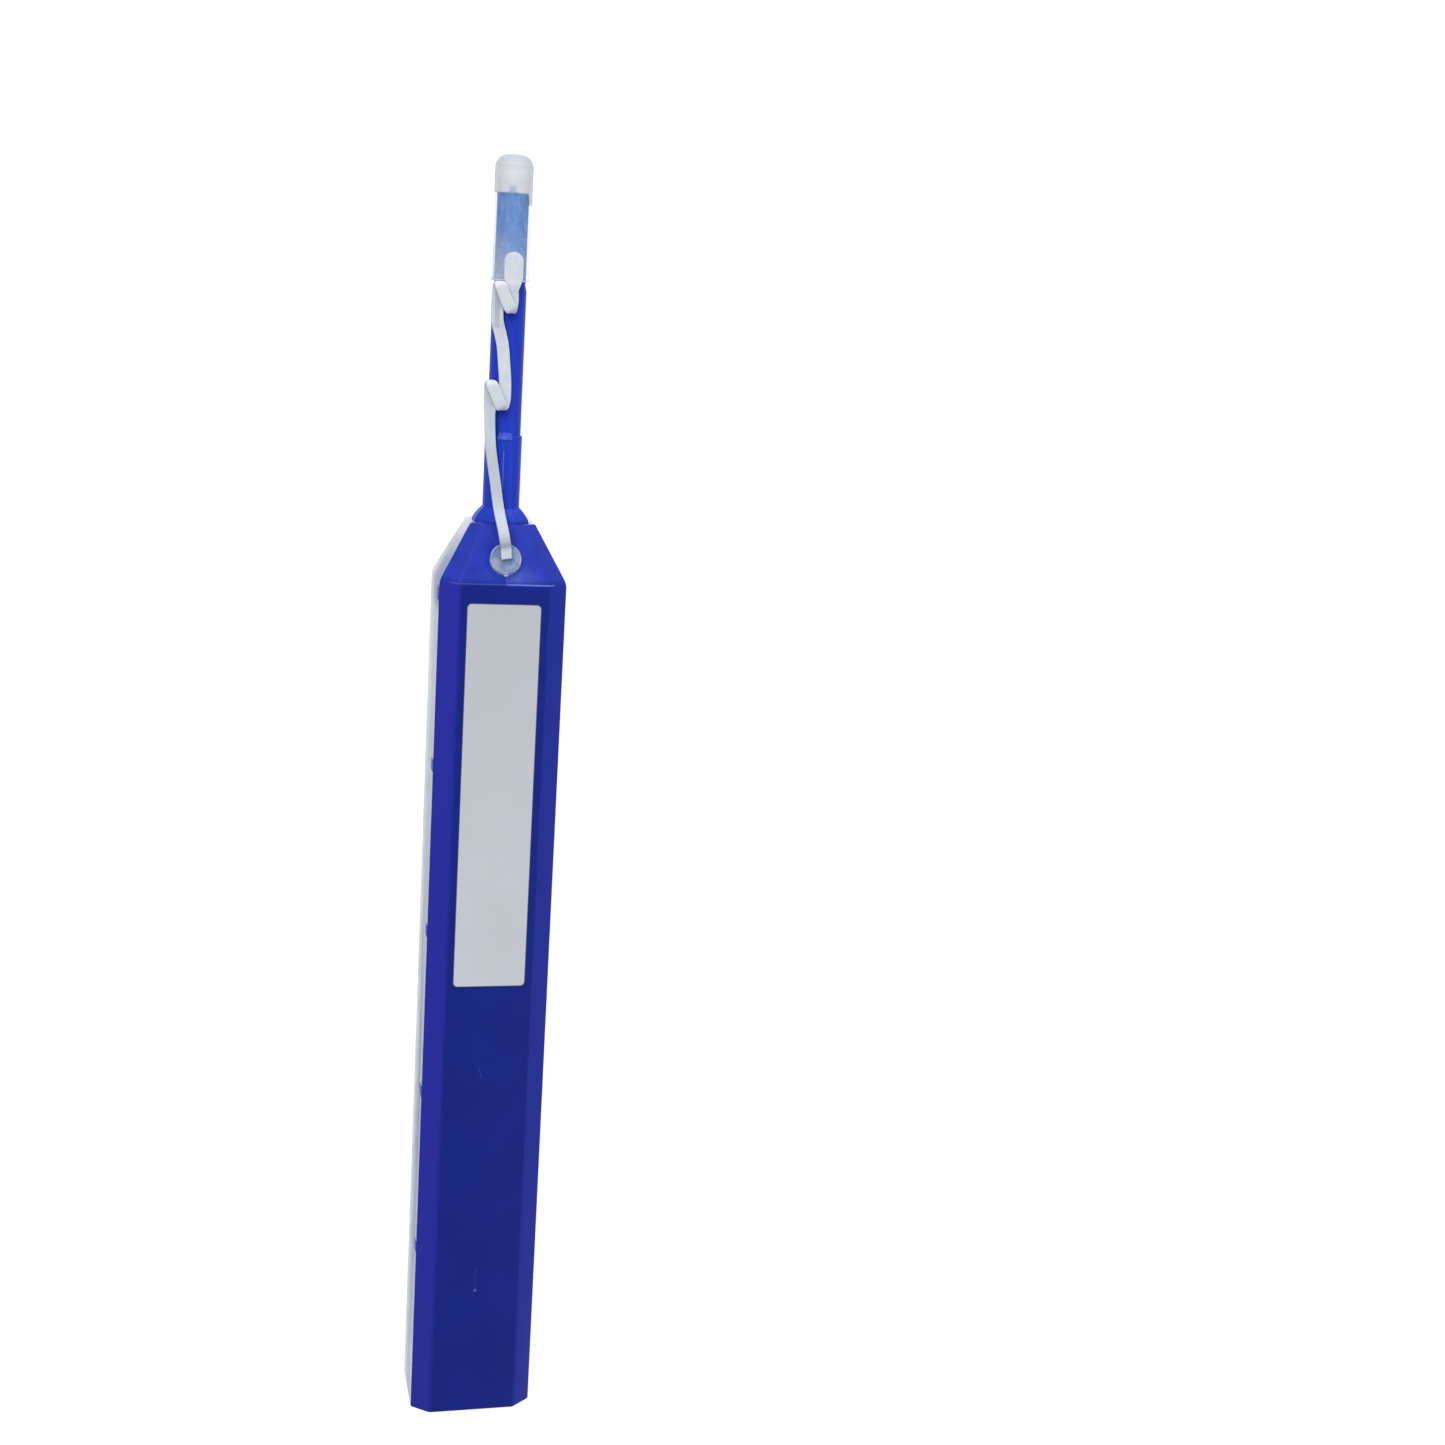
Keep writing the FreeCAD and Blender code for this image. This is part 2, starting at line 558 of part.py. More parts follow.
def carriage_frame():
    y0, y1 = PLATE_Y
    plate = box(-PLATE_HALF, PLATE_HALF, y0, y1, *PLATE_Z)
    # Windows lighten the plate between the stations.
    across, along = WINDOW
    for at in WINDOW_Y:
        plate = plate.cut(box(-across, across, at - along, at + along, PLATE_Z[0] - 1, PLATE_Z[1] + 1))
    front_y = y1 - BULK_T
    plate = plate.fuse(bulkhead(front_y)).fuse(bulkhead(CRADLE_Y))
    plate = plate.fuse(loft(octagon(y1 - 0.5, COLLAR_AF), octagon(COLLAR_END_Y, COLLAR_AF)))
    # Side cheeks tie the two bulkheads together above the barrel.
    top = PLATE_Z[0] + JOIN
    for cheek in both_sides(box(BULK_HALF - CHEEK_T, BULK_HALF, CRADLE_Y, y1, CHEEK_Z, top)):
        plate = plate.fuse(cheek)
    plate = plate.cut(rod_y(JOURNAL_BORE, front_y - 1, COLLAR_END_Y + 1))
    plate = plate.cut(rod_y(TAIL_JOURNAL_BORE, CRADLE_Y - 1, CRADLE_Y + BULK_T + 1))
    plate = plate.cut(rod_y(CAM_D + 2 * CAM_CLEAR, CRADLE_Y + BULK_T, front_y))
    plate = plate.fuse(reel_post(TAKEUP_Y, GEAR_Z[1] + FIT))
    plate = plate.fuse(reel_post(SUPPLY_Y, REEL_Z[1] + WASHER[1]))
    # Tail wall with the spigot that centres the return spring, and its gussets.
    half, thick, low = TAIL_WALL
    plate = plate.fuse(box(-half, half, y0, y0 + thick, low, top)).fuse(spigot(y0 - SPIGOT_L, y0 + JOIN))
    foot, (reach, low) = y0 + thick - 0.1, GUSSET
    for x in GUSSET_X:
        web = [Vector(x, foot, low), Vector(x, foot, top), Vector(x, y0 + thick + reach, top)]
        plate = plate.fuse(prism(web, Vector(GUSSET_T, 0, 0)))
    # Block that holds the foot of the ratchet pawl, and the hole of the guide pin.
    plate = plate.fuse(box(*PAWL_BLOCK, REEL_Z[0], top)).cut(pawl_foot())
    plate = plate.cut(rod_z(GUIDE_D / 2, *GUIDE_AT, PLATE_Z[0] - 1, PLATE_Z[1] + 1))
    return one_solid(plate)


def thread_guide_pin():
    """Steel pin that leads the fresh thread round to the cam barrel."""
    return rod_z(GUIDE_D / 2, *GUIDE_AT, 4.2, PLATE_Z[1] - 0.1)


# ---------------------------------------------------------------- ratchet
def pawl_foot():
    """Foot of the pawl, set in a slot of the block."""
    x0, x1, y0, y1 = PAWL_BLOCK
    return box(x1 - 2 * PAWL_T, x1 - PAWL_T, y0 - PAWL_DROP, y1 - 0.4, *PAWL_Z)


def ratchet_pawl():
    """Leaf that lets the take-up reel turn one way only, its nose in a tooth of the rear flange."""
    angle = 2 * math.pi * PAWL_TOOTH / RATCHET_TEETH - 0.02
    nose_r = TAKEUP_FLANGE_R - RATCHET_DEPTH + 0.06
    nose = Vector(nose_r * math.cos(angle), TAKEUP_Y + nose_r * math.sin(angle), PAWL_Z[0])
    root = Vector(PAWL_BLOCK[1] - PAWL_T, PAWL_BLOCK[2] - 0.1, PAWL_Z[0])
    along = (nose - root).normalize()
    across = Vector(-along.y, along.x, 0)
    leaf = [root, root - across * PAWL_T, nose - across * PAWL_T - along * 0.25, nose]
    arm = prism(leaf, Vector(0, 0, PAWL_Z[1] - PAWL_Z[0]))
    return one_solid(arm.fuse(pawl_foot()))


# ---------------------------------------------------------------- cam barrel and spindle
def along_axis(start_y):
    """Placement from a helix's own frame (axis Z, start at +X) to the pen's (axis Y, start at -Z)."""
    turn = FreeCAD.Rotation(Vector(0, 0, -1), Vector(-1, 0, 0), Vector(0, 1, 0), "ZXY")
    return FreeCAD.Placement(Vector(0, start_y, AXIS_Z), turn)


def swept(path, outline):
    """Solid that an outline leaves along a helix."""
    sweep = Part.BRepOffsetAPI.MakePipeShell(Part.Wire(path.Edges))
    sweep.setFrenetMode(True)
    sweep.add(outline)
    sweep.build()
    sweep.makeSolid()
    return sweep.shape().Solids[0]


def cam_slot():
    """Cutters for the helical slot, half a turn over the stroke, and its round ends."""
    outer_r = CAM_D / 2 + 0.6
    half = CAM_SLOT / 2
    outline = [Vector(CAM_FLOOR_R, 0, -half), Vector(outer_r, 0, -half), Vector(outer_r, 0, half),
               Vector(CAM_FLOOR_R, 0, half)]
    path = Part.makeHelix(STROKE * 360.0 / CAM_TURN, STROKE, CAM_D / 2, 0, True)
    cutters = [swept(path, polygon(outline))]
    end_r = PEG_D / 2 + 0.1
    for height, turn in ((0.0, 0.0), (STROKE, -CAM_TURN)):
        foot = Vector(CAM_FLOOR_R, 0, height)
        stop = Part.makeCylinder(end_r, outer_r - CAM_FLOOR_R, foot, Vector(1, 0, 0))
        stop.rotate(Vector(0, 0, height), Vector(0, 0, 1), turn)
        cutters.append(stop)
    place = along_axis(CAM_START_Y)
    return [cutter.transformGeometry(place.toMatrix()) for cutter in cutters]


def thread_grooves(y0, y1, floor_r, outer_r):
    """Pair of slots for the thread along both sides of the spindle."""
    half = THREAD_GROOVE[0] / 2
    return both_sides(box(floor_r, outer_r, y0, y1, AXIS_Z - half, AXIS_Z + half))


def cam_barrel():
    body = rod_y(CAM_D, *CAM_Y)
    body = body.fuse(rod_y(JOURNAL_D, CAM_Y[1], PLATE_Y[1] - 0.1))
    body = body.fuse(rod_y(TAIL_JOURNAL_D, CRADLE_Y + 0.1, CAM_Y[0]))
    body = body.cut(rod_y(SPINDLE_BORE, CRADLE_Y, PLATE_Y[1]))
    body = body.cut(rod_y(POCKET_D, CRADLE_Y, POCKET_END_Y))
    for cutter in cam_slot():
        body = body.cut(cutter)
    return one_solid(body)


def spring_seat():
    """Eight-sided bush pressed into the barrel's tail, for the tip spring to push against."""
    across_flats = POCKET_D * math.cos(math.pi / 8)
    bush = loft(octagon(CRADLE_Y + 0.2, across_flats), octagon(SEAT_END_Y, across_flats))
    return one_solid(bush.cut(rod_y(SPINDLE_BORE, CRADLE_Y, SEAT_END_Y + 1)))


def tip_spindle():
    """Long spindle with an eight-sided collar for its spring and a thread groove along each side."""
    body = rod_y(SPINDLE_D, *SPINDLE_Y)
    across_flats = SPINDLE_COLLAR_D * math.cos(math.pi / 8)
    body = body.fuse(loft(octagon(COLLAR_Y[0], across_flats), octagon(COLLAR_Y[1], across_flats)))
    body = body.cut(rod_y(TIP_D, TIP_ROOT_Y, SPINDLE_Y[1] + 1))
    floor_r = SPINDLE_D / 2 - THREAD_GROOVE[1]
    for groove in thread_grooves(SPINDLE_Y[0] - 1, SPINDLE_Y[1] + 1, floor_r, SPINDLE_COLLAR_D):
        body = body.cut(groove)
    return one_solid(body)


def cleaning_tip():
    """Small tip that presses the thread on the fibre end, slotted for it."""
    tip = rod_y(TIP_D, TIP_ROOT_Y, TIP_END_Y)
    depth = THREAD_D * 0.6
    half, floor_r = TIP_SLOT[0] / 2, TIP_D / 2 - TIP_SLOT[1]
    slot = box(-TIP_D, TIP_D, TIP_END_Y - depth, TIP_END_Y + 1, AXIS_Z - half, AXIS_Z + half)
    for side in both_sides(box(floor_r, TIP_D, SPINDLE_Y[1], TIP_END_Y + 1, AXIS_Z - half, AXIS_Z + half)):
        slot = slot.fuse(side)
    return one_solid(tip.cut(slot))


def coil(y0, y1, spring):
    """Compression spring along Y around the nozzle's axis."""
    outside, wire, turns = spring
    radius = (outside - wire) / 2
    steps = turns * COIL_STEPS
    stations = []
    for step in range(steps + 1):
        turn = 2 * math.pi * step / COIL_STEPS
        y = y0 + wire / 2 + (y1 - y0 - wire) * step / steps
        ring = []
        for side in range(WIRE_SIDES):
            angle = 2 * math.pi * (side + 0.5) / WIRE_SIDES
            reach, along = radius + wire / 2 * math.cos(angle), wire / 2 * math.sin(angle)
            ring.append(Vector(reach * math.cos(turn), y + along, AXIS_Z + reach * math.sin(turn)))
        stations.append(ring)
    return loft(*stations, split=True)


# ---------------------------------------------------------------- reels and pinion
def involute(base_r, roll):
    """Point of an involute of a circle, after the string has rolled off by an angle."""
    x, y = math.cos(roll) + roll * math.sin(roll), math.sin(roll) - roll * math.cos(roll)
    return base_r * x, base_r * y


def gear_outline():
    """Spur pinion with involute flanks, one tooth pointing along +X."""
    base_r = PITCH_R * math.cos(PRESSURE)
    tip_r = PITCH_R + ADDENDUM
    root_r = PITCH_R - DEDENDUM
    at_pitch = math.tan(PRESSURE) - PRESSURE
    half = math.pi / (2 * PINION_TEETH) - BACKLASH / PITCH_R
    roll_tip = math.sqrt((tip_r / base_r) ** 2 - 1)
    flank = [(root_r, 0.0)]
    for step in range(3):
        x, y = involute(base_r, roll_tip * step / 2)
        flank.append((math.hypot(x, y), math.atan2(y, x)))
    points = []
    for tooth in range(PINION_TEETH):
        centre = 2 * math.pi * tooth / PINION_TEETH
        low = [(r, centre - half - at_pitch + a) for r, a in flank]
        high = [(r, centre + half + at_pitch - a) for r, a in reversed(flank)]
        points += [Vector(r * math.cos(a), r * math.sin(a), 0) for r, a in low + high]
    return points


def many_sided(sides, across_flats, y, z0, z1):
    """Bar with equal flat sides, on a reel's axis."""
    radius = across_flats / 2 / math.cos(math.pi / sides)
    turns = [2 * math.pi * i / sides for i in range(sides)]
    ring = [Vector(radius * math.cos(a), y + radius * math.sin(a), z0) for a in turns]
    return prism(ring, Vector(0, 0, z1 - z0))


def drive_boss(gap, z0, z1):
    """Six-sided boss of the take-up reel, or with a gap the socket for it."""
    return many_sided(6, DRIVE_AF + gap, TAKEUP_Y, z0, z1)


def drive_gear():
    """Pinion that takes the six-sided boss of the take-up reel."""
    gear = prism(gear_outline(), Vector(0, 0, GEAR_Z[1] - GEAR_Z[0]))
    gear.translate(Vector(0, TAKEUP_Y, GEAR_Z[0]))
    gear = gear.cut(drive_boss(FIT, 0, REEL_Z[1] + DRIVE_H + 0.15))
    return one_solid(gear.cut(rod_z(POST_BORE / 2, 0, TAKEUP_Y, 0, BIG)))


def ratchet_flange(z0, z1):
    """Flange with saw teeth around its rim."""
    points = []
    step = 2 * math.pi / RATCHET_TEETH
    for i in range(RATCHET_TEETH):
        for r, a in ((TAKEUP_FLANGE_R - RATCHET_DEPTH, i * step), (TAKEUP_FLANGE_R, (i + 0.1) * step)):
            points.append(Vector(r * math.cos(a), TAKEUP_Y + r * math.sin(a), z0))
    return prism(points, Vector(0, 0, z1 - z0))


def spool(y, flange_r):
    """Hub between two flanges."""
    z0, z1 = REEL_Z
    return [rod_z(HUB_R, 0, y, z0, z1), rod_z(flange_r, 0, y, z1 - REEL_FLANGE_T, z1)]


def takeup_reel():
    hub, front = spool(TAKEUP_Y, TAKEUP_FLANGE_R)
    reel = hub.fuse(front).fuse(ratchet_flange(REEL_Z[0], REEL_Z[0] + REEL_FLANGE_T))
    reel = reel.fuse(drive_boss(0.0, REEL_Z[1] - JOIN, REEL_Z[1] + DRIVE_H))
    return one_solid(reel.cut(rod_z(POST_BORE / 2, 0, TAKEUP_Y, 0, BIG)))


def supply_reel():
    hub, front = spool(SUPPLY_Y, SUPPLY_FLANGE_R)
    reel = hub.fuse(front).fuse(rod_z(SUPPLY_FLANGE_R, 0, SUPPLY_Y, REEL_Z[0], REEL_Z[0] + REEL_FLANGE_T))
    return one_solid(reel.cut(rod_z(POST_BORE / 2, 0, SUPPLY_Y, 0, BIG)))


def winding(y, radius):
    """Thread wound on a hub, as the one body that it looks like."""
    z0, z1 = REEL_Z[0] + REEL_FLANGE_T, REEL_Z[1] - REEL_FLANGE_T
    across_flats = 2 * radius * math.cos(math.pi / WINDING_SIDES)
    thread = many_sided(WINDING_SIDES, across_flats, y, z0, z1)
    return one_solid(thread.cut(many_sided(WINDING_SIDES, 2 * HUB_R, y, 0, BIG)))


def drag_washer():
    """Thin square washer that keeps the supply reel from running on."""
    half, z0 = WASHER[0] / 2, REEL_Z[1]
    plate = box(-half, half, SUPPLY_Y - half, SUPPLY_Y + half, z0, z0 + WASHER[1])
    return plate.cut(rod_z(POST_BORE / 2, 0, SUPPLY_Y, 0, BIG))


# ---------------------------------------------------------------- thread
def strand(points):
    """Thread along straight runs with mitred turns."""
    along = points[1] - points[0]
    side = along.cross(Vector(0, 0, 1)).normalize()
    up = side.cross(along).normalize()
    ring = []
    for i in range(THREAD_SIDES):
        angle = 2 * math.pi * i / THREAD_SIDES
        ring.append(points[0] + (side * math.cos(angle) + up * math.sin(angle)) * (THREAD_D / 2))
    path = Part.makePolygon(points)
    return one_solid(path.makePipeShell([polygon(ring)], True, False, 1))


def groove_x():
    """Where the thread lies in the spindle's groove."""
    return SPINDLE_D / 2 - THREAD_GROOVE[1] + THREAD_D / 2 + 0.03


def thread_tip_loop():
    """Thread in the spindle's grooves and over the end of the tip."""
    x, top = groove_x(), TIP_END_Y - THREAD_D * 0.6 + THREAD_D / 2
    tip_x = TIP_D / 2 - TIP_SLOT[1] + THREAD_D / 2 + 0.02
    points = [(-x, SPINDLE_Y[0]), (-x, SPINDLE_Y[1] + 0.3), (-tip_x, SPINDLE_Y[1] + 0.85), (-tip_x, top)]
    points += [(-a, b) for a, b in reversed(points)]
    return strand([Vector(a, b, AXIS_Z) for a, b in points])


def winding_mid_z():
    return (REEL_Z[0] + REEL_Z[1]) / 2


def thread_supply_run():
    """Fresh thread from the supply reel, past its pin, to the tail of the barrel."""
    clear = THREAD_D / 2 + 0.05
    x, y = GUIDE_AT
    return strand([Vector(-FRESH_R - clear, SUPPLY_Y, winding_mid_z()),
                   Vector(x - GUIDE_D / 2 - clear - 0.05, y, winding_mid_z() + 0.8),
                   Vector(-groove_x(), CRADLE_Y - 0.3, AXIS_Z)])


def thread_return_run():
    """Used thread from the tail of the barrel to the take-up reel."""
    clear = THREAD_D / 2 + 0.12
    return strand([Vector(groove_x(), CRADLE_Y - 0.3, AXIS_Z),
                   Vector(-USED_R - clear, TAKEUP_Y, winding_mid_z())])


# ---------------------------------------------------------------- all pieces
def pieces():
    outer = soften(casing_block(0.0, 0.0, 0.0))
    inner = casing_block(WALL, MOUTH_WALL, WALL, 1.0)
    yield "front_casing", front_casing(outer, inner)
    yield "rear_casing", rear_casing(outer, inner)
    yield "label_sheet", label_sheet()
    yield "tether_button", tether_button()
    yield "cap_tether", cap_tether()
    yield "protective_cap", protective_cap()
    yield "nozzle", nozzle()
    yield "carriage_frame", carriage_frame()
    yield "thread_guide_pin", thread_guide_pin()
    yield "ratchet_pawl", ratchet_pawl()
    yield "return_spring", coil(*RETURN_SPRING_Y, RETURN_SPRING)
    yield "cam_barrel", cam_barrel()
    yield "spring_seat", spring_seat()
    yield "tip_spring", coil(SEAT_END_Y, COLLAR_Y[0], TIP_SPRING)
    yield "tip_spindle", tip_spindle()
    yield "cleaning_tip", cleaning_tip()
    yield "thread_tip_loop", thread_tip_loop()
    yield "drive_gear", drive_gear()
    yield "takeup_reel", takeup_reel()
    yield "used_thread_winding", winding(TAKEUP_Y, USED_R)
    yield "supply_reel", supply_reel()
    yield "fresh_thread_winding", winding(SUPPLY_Y, FRESH_R)
    yield "drag_washer", drag_washer()
    yield "thread_supply_run", thread_supply_run()
    yield "thread_return_run", thread_return_run()


os.makedirs("parts", exist_ok=True)
for name, shape in pieces():
    shape.exportStep("parts/%s.step" % name)
    facets = len(shape.tessellate(0.05)[1])
    print("%-22s volume %8.1f mm3  valid %s  facets %d" % (name, shape.Volume, shape.isValid(), facets))
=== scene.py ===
"""Finish and fine detail of the fibre connector cleaning pen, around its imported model."""
import math
from contextlib import contextmanager

import bmesh
import bpy
from bpy.props import FloatProperty, FloatVectorProperty, PointerProperty
from mathutils import Matrix, Vector


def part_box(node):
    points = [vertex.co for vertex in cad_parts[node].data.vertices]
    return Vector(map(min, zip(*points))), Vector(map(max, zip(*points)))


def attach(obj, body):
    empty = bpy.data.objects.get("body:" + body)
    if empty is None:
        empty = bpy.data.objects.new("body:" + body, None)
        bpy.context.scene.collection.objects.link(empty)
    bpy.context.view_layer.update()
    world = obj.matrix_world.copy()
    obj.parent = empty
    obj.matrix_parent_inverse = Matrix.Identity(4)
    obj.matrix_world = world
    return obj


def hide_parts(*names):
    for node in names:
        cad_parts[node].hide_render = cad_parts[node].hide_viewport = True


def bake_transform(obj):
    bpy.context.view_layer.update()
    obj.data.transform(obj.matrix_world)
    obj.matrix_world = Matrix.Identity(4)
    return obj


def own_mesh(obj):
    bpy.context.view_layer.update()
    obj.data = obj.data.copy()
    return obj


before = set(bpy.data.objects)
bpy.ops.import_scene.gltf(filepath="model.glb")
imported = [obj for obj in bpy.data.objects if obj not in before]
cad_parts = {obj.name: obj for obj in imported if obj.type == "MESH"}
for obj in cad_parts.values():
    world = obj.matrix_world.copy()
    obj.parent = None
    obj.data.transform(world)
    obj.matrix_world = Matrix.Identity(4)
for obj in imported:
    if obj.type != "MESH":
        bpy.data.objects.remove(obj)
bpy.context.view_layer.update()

bl_info = {
    "name": "Cleaning Pen",
    "version": (1, 0, 0),
    "blender": (4, 5, 0),
    "location": "View3D > Sidebar > Cleaning Pen",
    "description": "Builds the casing, nozzle, cap, tether and mechanism of a cleaning pen",
    "category": "Object",
}

MM = 0.001


# ---- places read from the imported model, in millimetres
def corners(node):
    """Lowest and highest corner of a CAD node."""
    low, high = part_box(node)
    return low / MM, high / MM


CASE_LOW, CASE_HIGH = corners("front_casing")
TAIL_Y, MOUTH_Y = CASE_LOW.y, CASE_HIGH.y
CASE_HALF, FRONT_Z = CASE_HIGH.x, CASE_HIGH.z
REAR_Z = corners("rear_casing")[0].z
LABEL_LOW, LABEL_HIGH = corners("label_sheet")
CAP_LOW, CAP_HIGH = corners("protective_cap")
NOZZLE_LOW, NOZZLE_HIGH = corners("nozzle")
AXIS_Z = sum(corner.z for corner in corners("tip_spindle")) / 2

# ---- the casing's form, as in the part's source
SHOULDER_Y = 36.3
MOUTH_HALF = 4.85
FRONT_CUT, REAR_CUT, MOUTH_CUT = (2.6, 2.15), (3.4, 3.4), (1.65, 1.65)
TAB_FIRST_Y, TAB_PITCH, TAB_COUNT = 34.3, 26.1, 5
TAB_WIDTH, TAB_HEIGHT, TAB_DEPTH, TAB_GAP = 1.9, 2.2, 0.6, 0.06
BUTTON_Y, BUTTON_RADIUS, BUTTON_HEIGHT, STEM_RADIUS = 39.7, 2.35, 0.9, 1.1
SLEEVE_END_Y, SLEEVE_RADIUS, TUBE_RADIUS = 57.5, 2.75, 2.5
FAR = 60.0
# Depth of the shells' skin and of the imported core, at the body and at the mouth.
SKIN, CORE_INSET = (0.55, 0.5), (0.45, 0.4)
# Edges that turn by more degrees than this are shaded sharp.
PLAIN_ANGLE = 35.0


def sizes_of(name):
    """One of the panel's sizes, in millimetres."""
    return getattr(bpy.context.scene.pen_sizes, name) / MM


def blend(a, b, share):
    """The number a share of the way from a to b."""
    return a + (b - a) * share


def ramp(y):
    """How far the casing has narrowed at a station: 0 up to the shoulder, 1 at the mouth, rounded at the shoulder."""
    run, soft = MOUTH_Y - SHOULDER_Y, sizes_of("shoulder_round")
    ahead = y - SHOULDER_Y
    if ahead <= -soft:
        return 0.0
    if ahead >= soft:
        return ahead / run
    return (ahead + soft) ** 2 / (4 * soft * run)


def casing_span(y, inset=0.0):
    """Half width, rear height, front height, and both bevels of the casing at a station."""
    share = ramp(y)
    shrink = inset * math.tan(math.pi / 8)
    half = blend(CASE_HALF, MOUTH_HALF, share) - inset
    low = blend(REAR_Z, AXIS_Z - MOUTH_HALF, share) + inset
    high = blend(FRONT_Z, AXIS_Z + MOUTH_HALF, share) - inset
    rear = [blend(a, b, share) - shrink for a, b in zip(REAR_CUT, MOUTH_CUT)]
    front = [blend(a, b, share) - shrink for a, b in zip(FRONT_CUT, MOUTH_CUT)]
    return half, low, high, rear, front


def seam_height(y):
    """Height of the parting line at a station."""
    _, _, high, _, front = casing_span(y)
    return high - front[1]


# ---- mesh helpers
def rounded(points, radii, steps):
    """A closed outline with its corners turned into arcs; radii gives one radius for each corner."""
    out = []
    count = len(points)
    for i, radius in enumerate(radii):
        here, before, after = points[i], points[i - 1], points[(i + 1) % count]
        back, on = (before - here), (after - here)
        reach = min(radius * math.tan((math.pi - back.angle(on)) / 2), 0.45 * back.length, 0.45 * on.length)
        start, end = here + back.normalized() * reach, here + on.normalized() * reach
        for step in range(steps + 1):
            t = step / steps
            out.append(start * (1 - t) ** 2 + here * (2 * t * (1 - t)) + end * t ** 2)
    return out


def skin(rings, caps=True):
    """Vertices and faces through rings of equal count."""
    count = len(rings[0])
    verts = [point for ring in rings for point in ring]
    faces = []
    for r in range(len(rings) - 1):
        for i in range(count):
            j = (i + 1) % count
            faces.append((r * count + i, r * count + j, (r + 1) * count + j, (r + 1) * count + i))
    if caps:
        faces.append(tuple(range(count))[::-1])
        faces.append(tuple((len(rings) - 1) * count + i for i in range(count)))
    return verts, faces


@contextmanager
def edited(mesh, gap):
    """The mesh as a bmesh with its doubles merged, written back at the end."""
    work = bmesh.new()
    work.from_mesh(mesh)
    bmesh.ops.remove_doubles(work, verts=work.verts, dist=gap)
    yield work
    work.to_mesh(mesh)
    work.free()


def linked(name, data):
    """A new object in the scene."""
    obj = bpy.data.objects.new(name, data)
    bpy.context.scene.collection.objects.link(obj)
    return obj


def shade(mesh, angle=PLAIN_ANGLE):
    """Smooth shading, with sharp edges past an angle."""
    mesh.shade_smooth()
    mesh.set_sharp_from_angle(angle=math.radians(angle))


def dress(obj, finish, angle=PLAIN_ANGLE):
    """Gives the object one finish and its shading."""
    obj.data.materials.clear()
    obj.data.materials.append(FINISHES[finish])
    shade(obj.data, angle)
    return obj


def add_mesh(name, verts, faces):
    """An object from points in millimetres, with outward normals."""
    mesh = bpy.data.meshes.new(name)
    mesh.from_pydata([Vector(v) * MM for v in verts], [], faces)
    with edited(mesh, 1e-7) as work:
        bmesh.ops.recalc_face_normals(work, faces=work.faces)
    shade(mesh)
    return linked(name, mesh)


def settled(obj):
    """Turns the object's modifiers into its mesh."""
    bpy.context.view_layer.update()
    graph = bpy.context.evaluated_depsgraph_get()
    mesh = bpy.data.meshes.new_from_object(obj.evaluated_get(graph), depsgraph=graph)
    mesh.name = obj.name
    obj.modifiers.clear()
    obj.data = mesh
    return obj


def combine(obj, tool, operation):
    """Joins the tool to the object, cuts it away or keeps what they share, and removes the tool."""
    modifier = obj.modifiers.new("combine", "BOOLEAN")
    modifier.operation = operation
    modifier.solver = "MANIFOLD"
    modifier.object = tool
    settled(obj)
    bpy.data.objects.remove(tool)
    return obj


def soften(obj, width):
    """Small rounding on every edge that turns by more than 50 degrees."""
    modifier = obj.modifiers.new("soften", "BEVEL")
    modifier.width = width * MM
    modifier.segments = 2
    modifier.limit_method = "ANGLE"
    modifier.angle_limit = math.radians(50.0)
    settled(obj)
    shade(obj.data)
    return obj


def rectangle(x0, x1, y, z0, z1):
    """Corners of an upright rectangle at a station."""
    return [Vector((x, y, z)) for x, z in ((x0, z0), (x1, z0), (x1, z1), (x0, z1))]


def round_ring(y, reach, steps, centre=(0.0, AXIS_Z)):
    """Ring round a line along Y; reach gives its radius at an angle from the front."""
    turns = [math.tau * i / steps for i in range(steps)]
    return [Vector((centre[0] + reach(t) * math.sin(t), y, centre[1] + reach(t) * math.cos(t))) for t in turns]


def lathe(profile, centre=(0.0, AXIS_Z), steps=64):
    """Rings round a line along Y from (radius, y) points."""
    return skin([round_ring(y, lambda t: radius, steps, centre) for radius, y in profile])


def arc(centre_radius, centre_y, radius, start, end, steps):
    """Points of an arc of a lathe profile, angles in degrees from the outward direction."""
    out = []
    for i in range(steps + 1):
        turn = math.radians(blend(start, end, i / steps))
        out.append((centre_radius + radius * math.cos(turn), centre_y + radius * math.sin(turn)))
    return out


def seat(obj, body, node):
    """The object moves with a body and stands in for a CAD node, which is hidden."""
    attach(obj, body)
    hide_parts(node)


# ---- node trees
def linear(display):
    """Scene-linear red, green and blue from display values of 0 to 255."""
    shares = [level / 255 for level in display]
    return [share / 12.92 if share <= 0.04045 else ((share + 0.055) / 1.055) ** 2.4 for share in shares]


def operation(kind, swapped=False):
    """A method of Maths that adds one Math node."""
    def method(*values):
        tree = values[0].tree
        node = tree.node("ShaderNodeMath", dict(enumerate(values[::-1] if swapped else values)), operation=kind)
        return Maths(tree, node.outputs[0])
    return method


